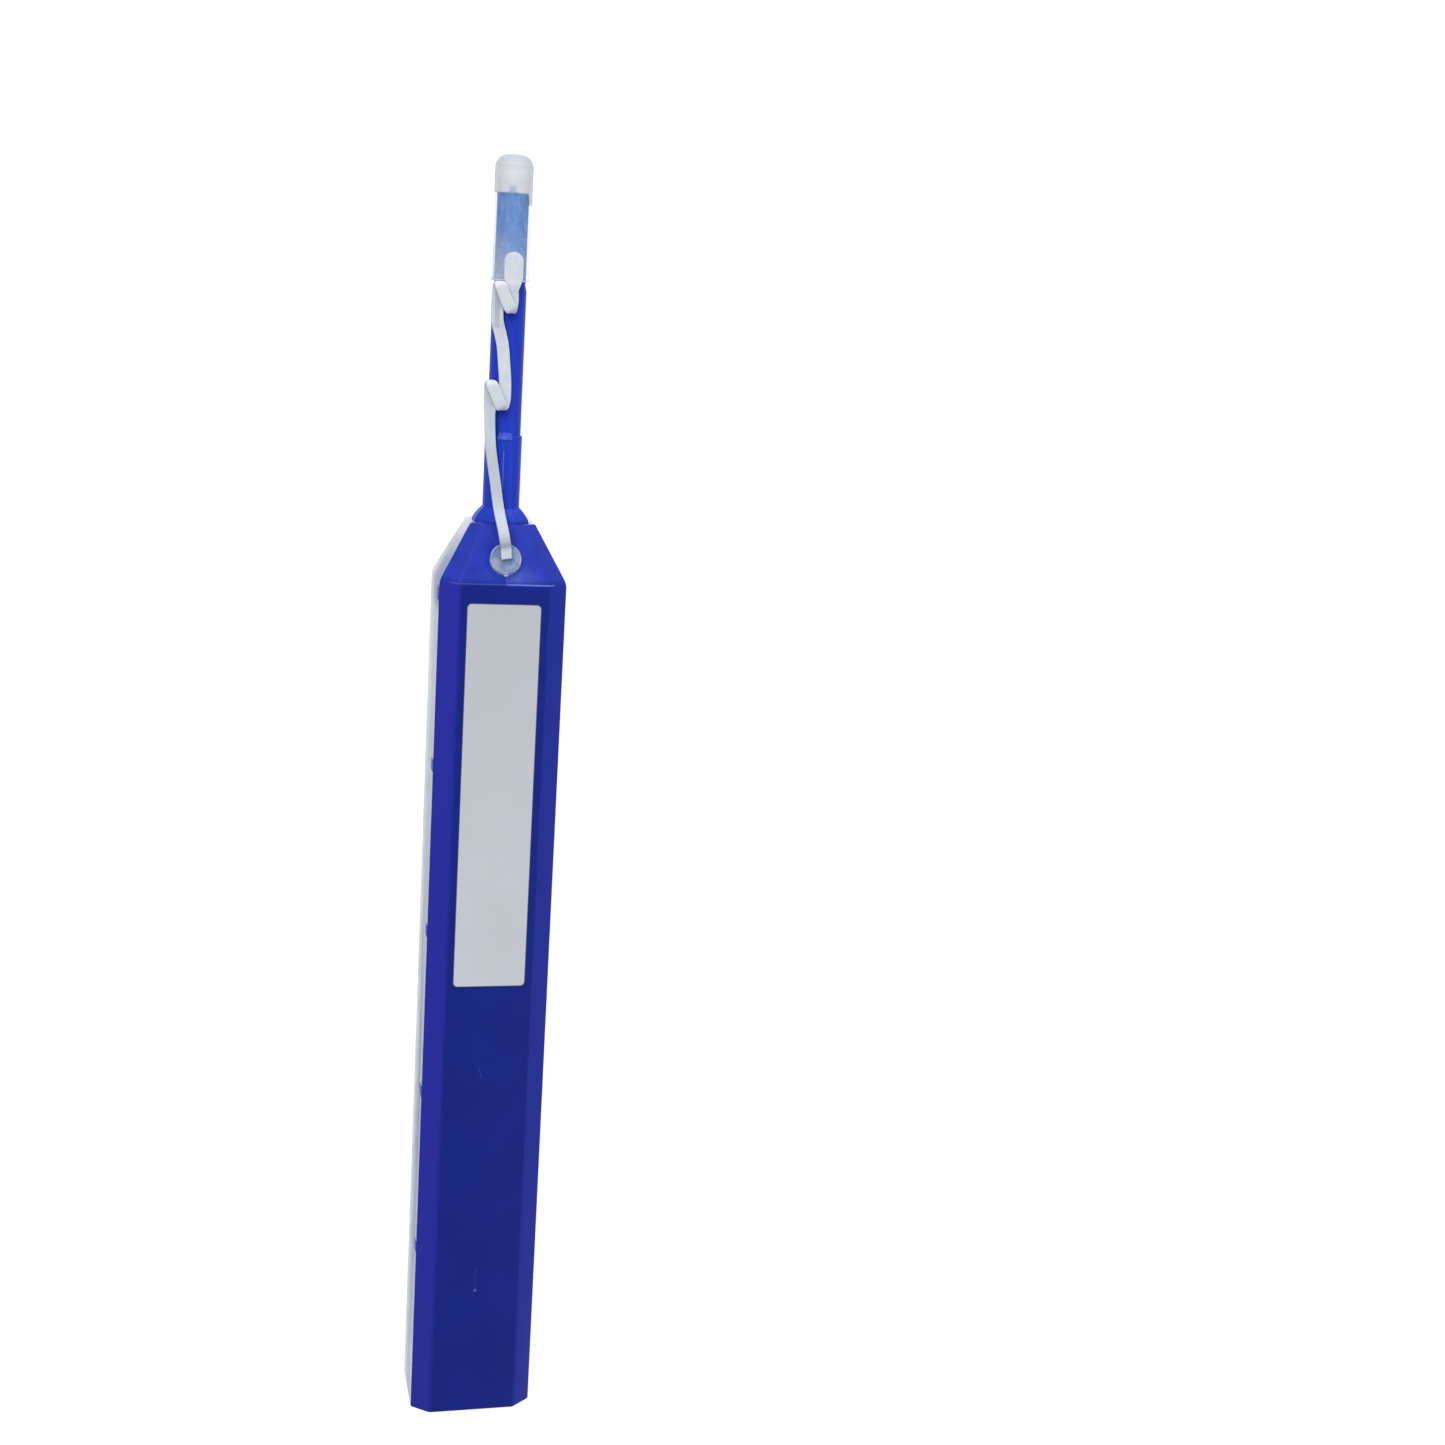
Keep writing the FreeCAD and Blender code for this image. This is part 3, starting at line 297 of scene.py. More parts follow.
class Maths:
    """A number socket of a node tree that Python's operators work on; over gives the larger of two."""
    __add__ = __radd__ = operation("ADD")
    __sub__, __rsub__ = operation("SUBTRACT"), operation("SUBTRACT", swapped=True)
    __mul__ = __rmul__ = operation("MULTIPLY")
    __abs__, root = operation("ABSOLUTE"), operation("SQRT")
    sine, cosine = operation("SINE"), operation("COSINE")
    over = operation("MAXIMUM")

    def __init__(self, tree, socket):
        self.tree, self.socket = tree, socket

    def between(self, low, high, kind="SMOOTHSTEP"):
        """0 at low, 1 at high, and a step between."""
        node = self.tree.node("ShaderNodeMapRange", {"Value": self, "From Min": low, "From Max": high},
                              interpolation_type=kind)
        return Maths(self.tree, node.outputs["Result"])

    def near(self, low, high, soft):
        """1 between two levels, falling to 0 a soft width outside them."""
        return self.between(low - soft, low) * (1 - self.between(high, high + soft))


class Tree:
    """A node tree and the one way in which nodes are added to it."""

    def __init__(self, tree):
        self.tree = tree

    def node(self, kind, sockets={}, **settings):
        """One node with its settings, and the values or links of its sockets."""
        node = self.tree.nodes.new(kind)
        for key, value in settings.items():
            setattr(node, key, value)
        for key, value in sockets.items():
            self.plug(node.inputs[key], value)
        return node

    def plug(self, socket, value):
        """Gives a socket a number, a colour, another socket or a node's first output."""
        if isinstance(value, bpy.types.Node):
            value = value.outputs[0]
        if isinstance(value, Maths):
            value = value.socket
        if isinstance(value, bpy.types.NodeSocket):
            self.tree.links.new(value, socket)
        elif socket.type == "RGBA":
            socket.default_value = (*value[:3], 1)
        else:
            socket.default_value = value


def toned(colour, share):
    """A lighter or darker version of a colour."""
    return [min(c * share, 1.0) for c in colour]


class Finish(Tree):
    """A procedural material on one Principled shader, with places in millimetres."""

    def __init__(self, name, **constants):
        self.material = bpy.data.materials.new(name)
        self.material.use_nodes = True
        super().__init__(self.material.node_tree)
        self.shader = self.tree.nodes["Principled BSDF"]
        self.set(**constants)
        place = self.node("ShaderNodeTexCoord").outputs["Object"]
        self.place = self.node("ShaderNodeVectorMath", {0: place, "Scale": 1 / MM}, operation="SCALE")
        split = self.node("ShaderNodeSeparateXYZ", {0: self.place})
        self.x, self.y, self.z = [Maths(self, output) for output in split.outputs]

    def set(self, **sockets):
        """Values or links of the shader, named with underscores for spaces."""
        for key, value in sockets.items():
            self.plug(self.shader.inputs[key.replace("_", " ")], value)
        return self

    def noise(self, scale, detail=3.0, roughness=0.5, stretch=(1, 1, 1)):
        """Cloudy noise with about scale features to a millimetre, as a number from 0 to 1."""
        place = self.node("ShaderNodeMapping", {"Vector": self.place, "Scale": stretch})
        node = self.node("ShaderNodeTexNoise", {"Vector": place, "Scale": scale, "Detail": detail,
                                                    "Roughness": roughness})
        return Maths(self, node.outputs["Fac"])

    def mix(self, share, first, second):
        """Colour between two colours or colour sockets."""
        node = self.node("ShaderNodeMix", data_type="RGBA")
        for at, value in ((0, share), (6, first), (7, second)):
            self.plug(node.inputs[at], value)
        return node.outputs[2]

    def patches(self, colour, share, cloud):
        """A colour that turns cloudily into a lighter or darker one."""
        return self.mix(cloud.between(0.32, 0.68), colour, toned(colour, share))

    def bump(self, height, strength, distance):
        """Small relief from a height of 0 to 1, distance millimetres deep."""
        node = self.node("ShaderNodeBump", {"Height": height, "Strength": strength, "Distance": distance * MM})
        return self.set(Normal=node)


class Recipe(Tree):
    """A geometry node tree with named inputs that makes plain meshes in millimetres."""

    def __init__(self, name, **inputs):
        super().__init__(bpy.data.node_groups.new(name, "GeometryNodeTree"))
        face = self.tree.interface
        face.new_socket("Geometry", in_out="OUTPUT", socket_type="NodeSocketGeometry")
        for key, kind in {**inputs, "finish": "Material"}.items():
            face.new_socket(key, in_out="INPUT", socket_type="NodeSocket" + kind)
        self.given = {output.name: Maths(self, output) for output in self.node("NodeGroupInput").outputs}

    def end(self, geometry):
        """Real geometry with its material, as the tree's result."""
        real = self.node("GeometryNodeRealizeInstances", {0: geometry})
        done = self.node("GeometryNodeSetMaterial", {"Geometry": real, "Material": self.given["finish"]})
        self.node("NodeGroupOutput", {0: done})
        return self

    def make(self, name, turn=Matrix(), **values):
        """One piece from the tree, turned into its place and with its modifier gone."""
        obj = linked(name, bpy.data.meshes.new(name))
        modifier = obj.modifiers.new("recipe", "NODES")
        modifier.node_group = self.tree
        for item in self.tree.interface.items_tree:
            if item.in_out == "INPUT":
                modifier[item.identifier] = values[item.name]
        settled(obj)
        obj.data.transform(Matrix.Scale(MM, 4) @ turn)
        shade(obj.data, 40.0)
        return obj


def coil_recipe():
    """Wire wound round the Y axis: close turns at both ends, and even ones between."""
    recipe = Recipe("coil", outside="Float", wire="Float", turns="Float", length="Float", close_turns="Float",
                    uneven="Float", steps="Int", sides="Int")
    node, given = recipe.node, recipe.given
    outside, wire, turns, length, close, uneven, *_ = given.values()
    line = node("GeometryNodeCurvePrimitiveLine", {"End": (0, 1, 0)})
    fine = node("GeometryNodeResampleCurve", {"Curve": line, "Count": given["steps"]})
    turn = Maths(recipe, node("GeometryNodeSplineParameter").outputs["Factor"]) * turns
    rise = wire * turn + (length - wire - wire * turns) * turn.between(close, turns - close, "LINEAR") + wire * 0.5
    wobble = node("ShaderNodeTexNoise", {"W": turn * 1.7, "Scale": 1.0}, noise_dimensions="1D")
    radius = (outside - wire) * 0.5 + (Maths(recipe, wobble.outputs[0]) - 0.5) * uneven
    angle = turn * math.tau
    place = node("ShaderNodeCombineXYZ", {"X": radius * angle.cosine(), "Y": rise, "Z": radius * angle.sine()})
    wound = node("GeometryNodeSetPosition", {"Geometry": fine, "Position": place})
    ring = node("GeometryNodeCurvePrimitiveCircle", {"Radius": wire * 0.5, "Resolution": given["sides"]})
    return recipe.end(node("GeometryNodeCurveToMesh", {"Curve": wound, "Profile Curve": ring, "Fill Caps": True}))


def row_recipe():
    """Equal blocks in a straight row."""
    recipe = Recipe("block_row", count="Int", first="Vector", step="Vector", size="Vector")
    node, given = recipe.node, recipe.given
    line = node("GeometryNodeMeshLine", {
        "Count": given["count"], "Start Location": given["first"], "Offset": given["step"]}, mode="OFFSET")
    cube = node("GeometryNodeMeshCube", {"Size": given["size"]})
    return recipe.end(node("GeometryNodeInstanceOnPoints", {"Points": line, "Instance": cube}))


RECIPES = {}


def block_row(name, count, step, *spans):
    """Row of blocks: the spans give the first one's two sides on each axis, step the way to the next."""
    middle = [sum(span) / 2 for span in spans]
    size = [span[1] - span[0] for span in spans]
    return RECIPES["row"].make(name, count=count, first=middle, step=step, size=size, finish=None)


# ---- materials
def blue_moulding(colours):
    """Deep blue polypropylene: flow marks, painted light on the sloped shoulder and bevels, a rubbed crease with a
    painted highlight, a painted reflection beside the button and small moulding marks.
    """
    blue = Finish("blue_moulding", Specular_IOR_Level=0.08)
    cloud, grain, flow = blue.noise(0.12, 2.0), blue.noise(9.0), blue.noise(0.9, 4.0, 0.6, (1, 0.25, 1))
    slope = blue.y.between(SHOULDER_Y - 0.5, SHOULDER_Y + 0.8)
    right, left, flat = blue.x.between(6.3, 7.1), (0 - blue.x).between(6.2, 7.1), 1 - slope
    # Painted light: the sloped shoulder and both bevels take lighter, lit copies of the face's blue, the left bevel
    # the lightest.
    tone = blue.patches(colours.casing_face, 1.12, cloud)
    tone = blue.mix(right * flat, tone, colours.casing_right_lit)
    tone = blue.mix(left * flat, tone, colours.casing_left_lit)
    tone = blue.mix(slope, tone, blue.patches(colours.casing_slope_lit, 1.15, blue.noise(0.35)))
    # Painted reflection as a pale patch beside the button, broken up by the flow noise, and the fine line where the
    # mould halves met, painted pale as its highlight.
    patch = slope * blue.x.between(0.12, 0.3) * (1 - blue.x.between(1.2, 6.8)) * (1 - blue.y.between(36.5, 39.6))
    line = slope * blue.x.near(0.12, 0.2, 0.06) * blue.z.between(14.4, 15.6)
    # Rubbed crease of the shoulder, wear with a painted highlight, more on its right half.
    wear_and_highlight = blue.y.near(SHOULDER_Y - 0.1, SHOULDER_Y, 0.1) * blue.z.between(15.0, 15.8) * (1 - blue.x.between(7.2, 7.6))
    wear_and_highlight = wear_and_highlight * blue.noise(1.1, 3.0, 0.6).between(0.2, 0.46) * (0.25 + blue.x.between(0.1, 0.5) * 0.75)
    # Gate mark near the tail with its weld line, and one hair scratch.
    off_x, off_y = blue.x + 0.15, blue.y + 76.9
    gate = (off_x * off_x + off_y * off_y).root()
    front = blue.z.between(16.2, 16.4)
    spot = (1 - gate.between(0.12, 0.34)) * front
    weld = blue.x.near(-0.24, -0.18, 0.07) * blue.y.near(-76.5, -73.6, 0.7) * front
    scratch = (blue.x * 0.96 + blue.y * 0.28 + 12.0).near(0.0, 0.03, 0.05) * blue.y.near(-40.9, -39.4, 0.4) * front
    # Each mark is mixed in the pale blue; the patch, the parting line and the crease carry painted light.
    for share in (patch * (0.2 + flow.between(0.3, 0.6) * 0.12), line * 0.35, wear_and_highlight * 0.8,
                  spot * 0.4 + weld * 0.12 + scratch * 0.2):
        tone = blue.mix(share, tone, colours.scuff_and_highlight)
    blue.set(Base_Color=tone, Roughness=0.36 + grain * 0.06 + flow * 0.1 - wear_and_highlight * 0.08)
    return blue.bump(grain * 0.3 + flow * 0.5 + gate.near(0.35, 0.5, 0.1) * front * 0.5, 0.12, 0.02)


def blue_nozzle(colours):
    """Brighter blue of the nozzle, with draw marks along it."""
    tube = Finish("blue_nozzle", Specular_IOR_Level=0.1)
    streak, grain = tube.noise(1.3, 3.0, 0.55, (1.0, 0.12, 1.0)), tube.noise(11.0)
    base = tube.mix(tube.y.between(44.0, 47.5), colours.nozzle_base, colours.nozzle)
    light = tube.mix(streak.between(0.3, 0.75), base, toned(colours.nozzle, 1.25))
    # A fine scratch-like line down the sleeve and the slide mark at its end are painted lighter as highlights.
    line = tube.x.near(-0.3, -0.2, 0.08) * tube.y.near(50.0, 55.0, 0.6) * tube.z.between(10.0, 10.6)
    slide_highlight = tube.y.near(SLEEVE_END_Y - 0.4, SLEEVE_END_Y + 0.45, 0.15) * tube.x.near(-1.1, 0.85, 0.15)
    mark = line * 0.4 + slide_highlight * tube.z.between(10.0, 10.6) * (0.2 + streak.between(0.4, 0.6) * 0.3)
    tube.set(Base_Color=tube.mix(mark, light, colours.scuff_and_highlight), Roughness=0.32 + grain * 0.08 + streak * 0.08)
    return tube.bump(grain * 0.3 + streak * 0.7, 0.1, 0.015)


def polyethylene(name, colours, alpha, first):
    """Milky polyethylene that lets some of what lies behind it through."""
    milky = Finish(name, Specular_IOR_Level=0.3)
    cloud, streak = milky.noise(0.7), milky.noise(2.2, 3.0, 0.5, (1.0, 0.18, 1.0))
    milky.tone = milky.mix(cloud.between(0.3, 0.7), first, colours.polyethylene_cool)
    milky.clear = alpha + (streak + cloud - 1) * 0.08
    milky.set(Base_Color=milky.tone, Roughness=0.34 + streak * 0.16)
    return milky.bump(streak * 0.6 + cloud * 0.4, 0.12, 0.03)


def tether_finish(colours):
    """Strap: clearer along its lower run over the nozzle's base."""
    strap = polyethylene("tether_polyethylene", colours, 0.78, colours.polyethylene)
    run = strap.y.between(54.0, 61.0)
    strap.set(Base_Color=strap.mix(run, toned(colours.polyethylene_cool, 0.92), strap.tone))
    under = strap.x.near(-2.4, -1.8, 0.12) * strap.y.near(73.6, 78.4, 0.5) * (1 - strap.z.between(11.3, 11.5))
    return strap.set(Alpha=strap.clear + run * 0.15 - under * 0.24)


def button_finish(colours):
    """Button: thin enough for the blue below to show."""
    button = polyethylene("button_polyethylene", colours, 0.42, colours.button)
    return button.set(Alpha=button.clear)


def cap_finish(colours):
    """Cap: a thin clear skirt over the nozzle, a white rim and a thick milky crown."""
    cap = polyethylene("cap_polyethylene", colours, 0.26, colours.polyethylene)
    right = cap.x.between(1.95, 2.2)
    crown, rim = (cap.y + right * 1.6).between(92.35, 92.75), 1 - cap.y.between(80.12, 80.3)
    mottle = cap.noise(1.5, 4.0, 0.65, (1.0, 0.4, 1.0)).between(0.42, 0.66)
    low = (1 - cap.y.between(81.0, 89.0)) * (1 - cap.x.between(-1.5, 1.0) * 0.6)
    skirt = cap.mix(mottle, toned(colours.cap_skirt, 0.75), colours.cap_skirt)
    skirt = cap.mix(low * 0.8, skirt, colours.polyethylene_cool)
    white = toned(colours.polyethylene, 1.12)
    top = cap.mix(cap.y.between(95.6, 97.4), white, toned(colours.polyethylene_cool, 0.85))
    # The tip shows as a grey blur through the foot of the crown.
    blur = cap.x.near(-0.75, -0.2, 0.4) * cap.y.near(92.6, 93.1, 0.7)
    top = cap.mix(blur * 0.5, top, toned(colours.cap_skirt, 0.55))
    cap.set(Base_Color=cap.mix(crown.over(rim), skirt, top))
    thick = crown * (0.36 + cap.y.between(93.8, 95.2) * 0.12)
    # Where no blue lies behind it, the clear skirt all but vanishes.
    bare = right.over((0 - cap.x).between(2.42, 2.56)) * (1 - crown)
    return cap.set(Alpha=(cap.clear + thick + rim * 0.5 + mottle * 0.04 + low * 0.16) * (1 - bare * 0.8))


def frosted_clear(colours):
    """Clear moulding with a fine frosted skin."""
    frosted = Finish("clear_moulding", Specular_IOR_Level=0.4, Transmission_Weight=0.66, IOR=1.45)
    grain, cloud = frosted.noise(7.0, 4.0), frosted.noise(0.25)
    tone = frosted.patches(colours.clear, 0.92, cloud)
    # Bluer where it picks up the front half; paler along the parting line as a painted highlight, and along the mouth.
    shoulder, foot = frosted.y.near(34.0, 38.5, 3.5), frosted.z.between(5.0, 10.0)
    side = (1 - frosted.z.between(12.3, 12.9)) * frosted.z.between(5.0, 9.0)
    deep = (shoulder * foot).over(side * (0.75 - frosted.y.between(-70.0, 20.0) * 0.5))
    tone = frosted.mix(deep, tone, colours.clear_deep)
    tone = frosted.mix(shoulder * foot * 0.6, tone, toned(colours.clear_deep, 0.6))
    pale = (frosted.z.between(12.8, 13.4) * (1 - shoulder)).over(frosted.y.between(40.5, 43.5))
    tone = frosted.mix(pale, tone, colours.clear_edge_highlight)
    # Thinner towards the mouth, where it fades into what lies behind.
    frosted.set(Base_Color=tone, Roughness=0.26 + grain * 0.12, Alpha=1 - frosted.y.between(39.5, 43.5) * 0.6)
    return frosted.bump(grain, 0.2, 0.03)


def label_film(colours):
    """Bare satin film with a thin dark border and faint ripples."""
    film = Finish("label_film", Specular_IOR_Level=0.3)
    cloud, grain, ripple = film.noise(0.09, 2.0), film.noise(14.0, 2.0), film.noise(0.16, 2.0)
    corner, line = sizes_of("label_corner"), sizes_of("label_border")
    half_x, half_y = LABEL_HIGH.x - corner, (LABEL_HIGH.y - LABEL_LOW.y) / 2 - corner
    out_x = (abs(film.x) - half_x).over(0.0)
    out_y = (abs(film.y - (LABEL_HIGH.y + LABEL_LOW.y) / 2) - half_y).over(0.0)
    border = (out_x * out_x + out_y * out_y).root().between(corner - line - 0.02, corner - line + 0.02)
    tone = film.patches(colours.label, 0.95, cloud)
    shade_up = film.y.between(LABEL_LOW.y, LABEL_HIGH.y, "LINEAR")
    tone = film.mix(shade_up, tone, toned(colours.label, 0.86))
    film.set(Base_Color=film.mix(border, tone, colours.label_border), Roughness=0.42 + grain * 0.08)
    return film.bump(grain * 0.04 + ripple * 0.96, 0.15, 0.05)


def acetal(name, level):
    """Natural acetal of the moving parts, with a faint waxy mottle."""
    part = Finish(name, Specular_IOR_Level=0.4)
    cloud, grain = part.noise(0.4), part.noise(10.0)
    part.set(Base_Color=part.patches(level, 0.9, cloud), Roughness=0.38 + grain * 0.1)
    return part.bump(grain, 0.15, 0.01)


def spring_steel(colours):
    """Drawn steel wire with fine scratches."""
    steel = Finish("spring_steel", Metallic=1.0)
    drawn, cloud = steel.noise(14.0, 2.0), steel.noise(0.8)
    steel.set(Base_Color=steel.patches(colours.steel, 0.78, cloud), Roughness=0.24 + drawn * 0.14)
    return steel.bump(drawn, 0.1, 0.005)


def cleaning_thread(colours):
    """Fine white yarn."""
    yarn = Finish("cleaning_thread", Sheen_Weight=0.3)
    fibre, cloud = yarn.noise(22.0, 3.0, 0.6), yarn.noise(1.0, 2.0)
    yarn.set(Base_Color=yarn.patches(colours.thread, 0.75, fibre), Roughness=0.8 + cloud * 0.15)
    return yarn.bump(fibre, 0.6, 0.03)


MAKERS = {"blue": blue_moulding, "nozzle": blue_nozzle, "tether": tether_finish, "button": button_finish,
          "cap": cap_finish, "clear": frosted_clear, "label": label_film, "steel": spring_steel,
          "thread": cleaning_thread}


def make_finishes():
    """Every material of the pen by name."""
    colours = bpy.context.scene.pen_colours
    made = {name: maker(colours) for name, maker in MAKERS.items()}
    made.update({name: acetal(name, getattr(colours, name)) for name in ("white_acetal", "grey_acetal")})
    return {name: finish.material for name, finish in made.items()}


FINISHES = {}


# ---- casing
def casing_ring(y, inset=0.0, extra=0.0):
    """Rounded eight-sided ring of the casing at a station; extra pulls it in further, as at the tail's edge."""
    half, low, high, rear, front = casing_span(y, inset)
    half, low, high = half - extra, low + extra, high - extra
    side = [(half - rear[0], low), (half, low + rear[1]), (half, high - front[1]), (half - front[0], high)]
    points = [Vector((x, y, z)) for x, z in side + [(-x, z) for x, z in reversed(side)]]
    shrink = 1.0 - ramp(y) * 0.35
    radii = [sizes_of(name) for name in ("rear_round", "rear_round", "seam_round", "front_round")]
    radii = [max(r * shrink - inset * 0.4, 0.05) for r in radii + radii[::-1]]
    return rounded(points, radii, 5)


def shoulder_stations():
    """Stations close together where the shoulder curves."""
    soft = sizes_of("shoulder_round")
    return [SHOULDER_Y - soft + 2 * soft * i / 8 for i in range(9)]


def casing_block(name):
    """The casing's outside as a closed block, with its tail's edge and its mouth's rim rounded."""
    tail, rim = sizes_of("tail_round"), 0.14
    stations = arc(tail, TAIL_Y + tail, tail, -90, -180, 5) + [(0.0, y) for y in shoulder_stations()]
    stations += arc(rim, MOUTH_Y - rim, rim, 180, 90, 3)
    return add_mesh(name, *skin([casing_ring(y, 0.0, pull) for pull, y in stations]))


def inner_block(name, insets, past):
    """Block some way inside the casing's faces, out through its mouth."""
    ys = [TAIL_Y + insets[0]] + shoulder_stations() + [MOUTH_Y]
    rings = [casing_ring(y, blend(*insets, ramp(y))) for y in ys]
    rings.append([p + Vector((0, past, 0)) for p in rings[-1]])
    return add_mesh(name, *skin(rings))


def above_seam():
    """Block that holds everything on the front side of the parting line."""
    rings = []
    for y in [TAIL_Y - 5] + shoulder_stations() + [MOUTH_Y, MOUTH_Y + 5]:
        rings.append(rectangle(-FAR, FAR, y, seam_height(min(max(y, TAIL_Y), MOUTH_Y)), FAR))
    return add_mesh("above_seam", *skin(rings))


def tab_rows(gap, rise):
    """Rows of snap tabs along both sides, or with a gap the pockets that they sit in."""
    seam = seam_height(TAIL_Y)
    half = TAB_WIDTH / 2 + gap
    outer, inner = CASE_HALF + gap * 10, CASE_HALF - TAB_DEPTH - gap
    return [block_row("tab_row", TAB_COUNT, (0, -TAB_PITCH, 0), span, (TAB_FIRST_Y - half, TAB_FIRST_Y + half),
                      (seam - TAB_HEIGHT - gap, seam + rise))
            for span in ((inner, outer), (-outer, -inner))]


def packed_copy(node, name):
    """Merged copy of a CAD node's mesh."""
    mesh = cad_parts[node].data.copy()
    mesh.name = name
    with edited(mesh, 1e-6) as work:
        bmesh.ops.dissolve_limit(work, angle_limit=math.radians(1.0), verts=work.verts, edges=work.edges)
    mesh.materials.clear()
    return linked(name, mesh)


def shell(name, side):
    """Half of the casing's outer skin: INTERSECT keeps the front, DIFFERENCE the rear."""
    outside = combine(casing_block(name), inner_block("inside", SKIN, 3.0), "DIFFERENCE")
    return combine(outside, above_seam(), side)


def finished_shell(half, node, finish):
    """Joins the skin to the ribs, lip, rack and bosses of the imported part, and seats it."""
    soften(half, sizes_of("edge_round"))
    inner = combine(packed_copy(node, "inner"), inner_block("core", CORE_INSET, 1.0), "INTERSECT")
    combine(half, inner, "UNION")
    seat(dress(half, finish), "casing", node)


class PEN_OT_front_shell(bpy.types.Operator):
    """Blue front half of the casing with its snap tabs, ribs and button hole"""
    bl_idname = "pen.front_shell"
    bl_label = "Front Shell"

    def execute(self, context):
        front = shell("front_shell", "INTERSECT")
        for row in tab_rows(0.0, 0.4):
            combine(front, combine(row, casing_block("trim"), "INTERSECT"), "UNION")
        hole = lathe([(STEM_RADIUS, -3.0), (STEM_RADIUS, 3.0)], (0, 0), 48)
        combine(front, add_mesh("hole", *on_slope(*hole)), "DIFFERENCE")
        finished_shell(front, "front_casing", "blue")
        return {"FINISHED"}


class PEN_OT_rear_shell(bpy.types.Operator):
    """Frosted rear half of the casing with its pockets, lip, ledges, rack and peg"""
    bl_idname = "pen.rear_shell"
    bl_label = "Rear Shell"

    def execute(self, context):
        rear = shell("rear_shell", "DIFFERENCE")
        for row in tab_rows(TAB_GAP, 3.0):
            combine(rear, row, "DIFFERENCE")
        finished_shell(rear, "rear_casing", "clear")
        return {"FINISHED"}


# ---- label
class PEN_OT_label(bpy.types.Operator):
    """Bare film label with rounded corners and a soft edge"""
    bl_idname = "pen.label"
    bl_label = "Label"

    def execute(self, context):
        low, high, edge, corner = LABEL_LOW, LABEL_HIGH, 0.03, sizes_of("label_corner")
        rings = []
        for inset, z in ((0.0, low.z), (0.0, high.z - edge), (edge * 0.4, high.z - edge * 0.3), (edge, high.z)):
            x, bottom, top = high.x - inset, low.y + inset, high.y - inset
            ring = [Vector(p) for p in ((-x, bottom, z), (x, bottom, z), (x, top, z), (-x, top, z))]
            rings.append(rounded(ring, [corner - inset] * 4, 8))
        seat(dress(add_mesh("label", *skin(rings)), "label", 25.0), "casing", "label_sheet")
        return {"FINISHED"}


# ---- nozzle
def reach_to(turn, sides):
    """Distance from the axis to a softly cornered eight-sided outline; turn is measured from the front."""
    across, deep, bevel = sides
    hits = []
    for i in range(8):
        facing = math.cos(turn - i * math.pi / 4)
        if facing > 0.3:
            hits.append((deep, bevel, across, bevel)[i % 4] / facing)
    sharp = 22.0
    return -math.log(sum(math.exp(-sharp * hit) for hit in hits)) / sharp


def smooth_max(a, b, width):
    """The larger of two numbers, blended where they differ by less than a width."""
    share = max(width - abs(a - b), 0.0) / width
    return max(a, b) + share * share * width / 4


def sector(radius, height, x0, x1, y0, y1):
    """Low plate that follows a round surface, as a block of rounded cross-section."""
    turns = [blend(math.asin(x0 / radius), math.asin(x1 / radius), i / 8) for i in range(9)]
    ring = [(radius + height, t) for t in turns] + [(radius - 0.3, t) for t in reversed(turns)]
    return skin([[Vector((r * math.sin(t), y, AXIS_Z + r * math.cos(t))) for r, t in ring] for y in (y0, y1)])


class PEN_OT_nozzle(bpy.types.Operator):
    """Octagonal base with its stop flange, flare, round sleeve and slim tube, as one moulding"""
    bl_idname = "pen.nozzle"
    bl_label = "Nozzle"

    def execute(self, context):
        steps = 128
        half, flare_top, sleeve, tube, tip = 4.1, 46.65, SLEEVE_RADIUS, TUBE_RADIUS, 2.3
        low, tube_end, end, sleeve_end = NOZZLE_LOW.y, 78.6, NOZZLE_HIGH.y, SLEEVE_END_Y

        def facets(y, sides, pull=0.0):
            return round_ring(y, lambda t: reach_to(t, [side - pull for side in sides]), steps)

        base, flange, stop, stop_end, edge = [half] * 3, (5.8, 4.6, 6.187), 39.0, 40.8, 0.1
        rings = [facets(*row) for row in (
            (low, base, 0.15), (low + 0.15, base), (stop, base), (stop, flange, edge), (stop + edge, flange),
            (stop_end - edge, flange), (stop_end, flange, edge), (stop_end, base), (MOUTH_Y - 0.1, base),
            (MOUTH_Y, base))]
        for i in range(1, 17):
            share = i / 16
            flat = blend(half, sleeve - 0.25, share ** 1.5)
            rings.append(round_ring(blend(MOUTH_Y, flare_top + 0.35, share),
                                    lambda t: smooth_max(reach_to(t, [flat] * 3), sleeve, 0.12), steps))
        outside = [(sleeve, flare_top + 0.6), (sleeve, sleeve_end - 0.12)]
        outside += arc(sleeve - 0.12, sleeve_end - 0.12, 0.12, 0, 90, 4)
        outside += [(tube + 0.05, sleeve_end), (tube, sleeve_end + 0.06), (tube, tube_end),
                    (tip + 0.03, tube_end + 0.7), (tip, tube_end + 0.9), (tip, end - 0.5)]
        outside += arc(tip - 0.5, end - 0.5, 0.5, 0, 90, 6)
        bore = [(0.85, end), (0.8, end - 0.05), (0.8, end - 1.3), (1.7, end - 1.4), (1.7, 31.0), (3.3, 30.8),
                (3.35, low)]
        rings += [round_ring(y, lambda t: radius, steps) for radius, y in outside + bore]
        verts, faces = skin(rings, caps=False)
        last = (len(rings) - 1) * steps
        faces += [(i, last + i, last + (i + 1) % steps, (i + 1) % steps) for i in range(steps)]
        body = add_mesh("nozzle_body", verts, faces)
        # Slide mark across the sleeve's end: a low plate and two ribs that run on over the tube.
        outer, inner, rise = 0.95, 0.72, 0.22
        combine(body, soften(add_mesh("mark", *sector(sleeve, 0.1, -outer, outer, sleeve_end - 0.5,
                                                      sleeve_end - 0.05)), 0.04), "UNION")
        for x0, x1 in ((-outer, -inner), (inner, outer)):
            rib = add_mesh("mark", *sector(tube, rise, x0, x1, sleeve_end - 0.2, sleeve_end + 0.5))
            combine(body, soften(rib, 0.04), "UNION")
        seat(dress(body, "nozzle", 28.0), "carriage", "nozzle")
        return {"FINISHED"}


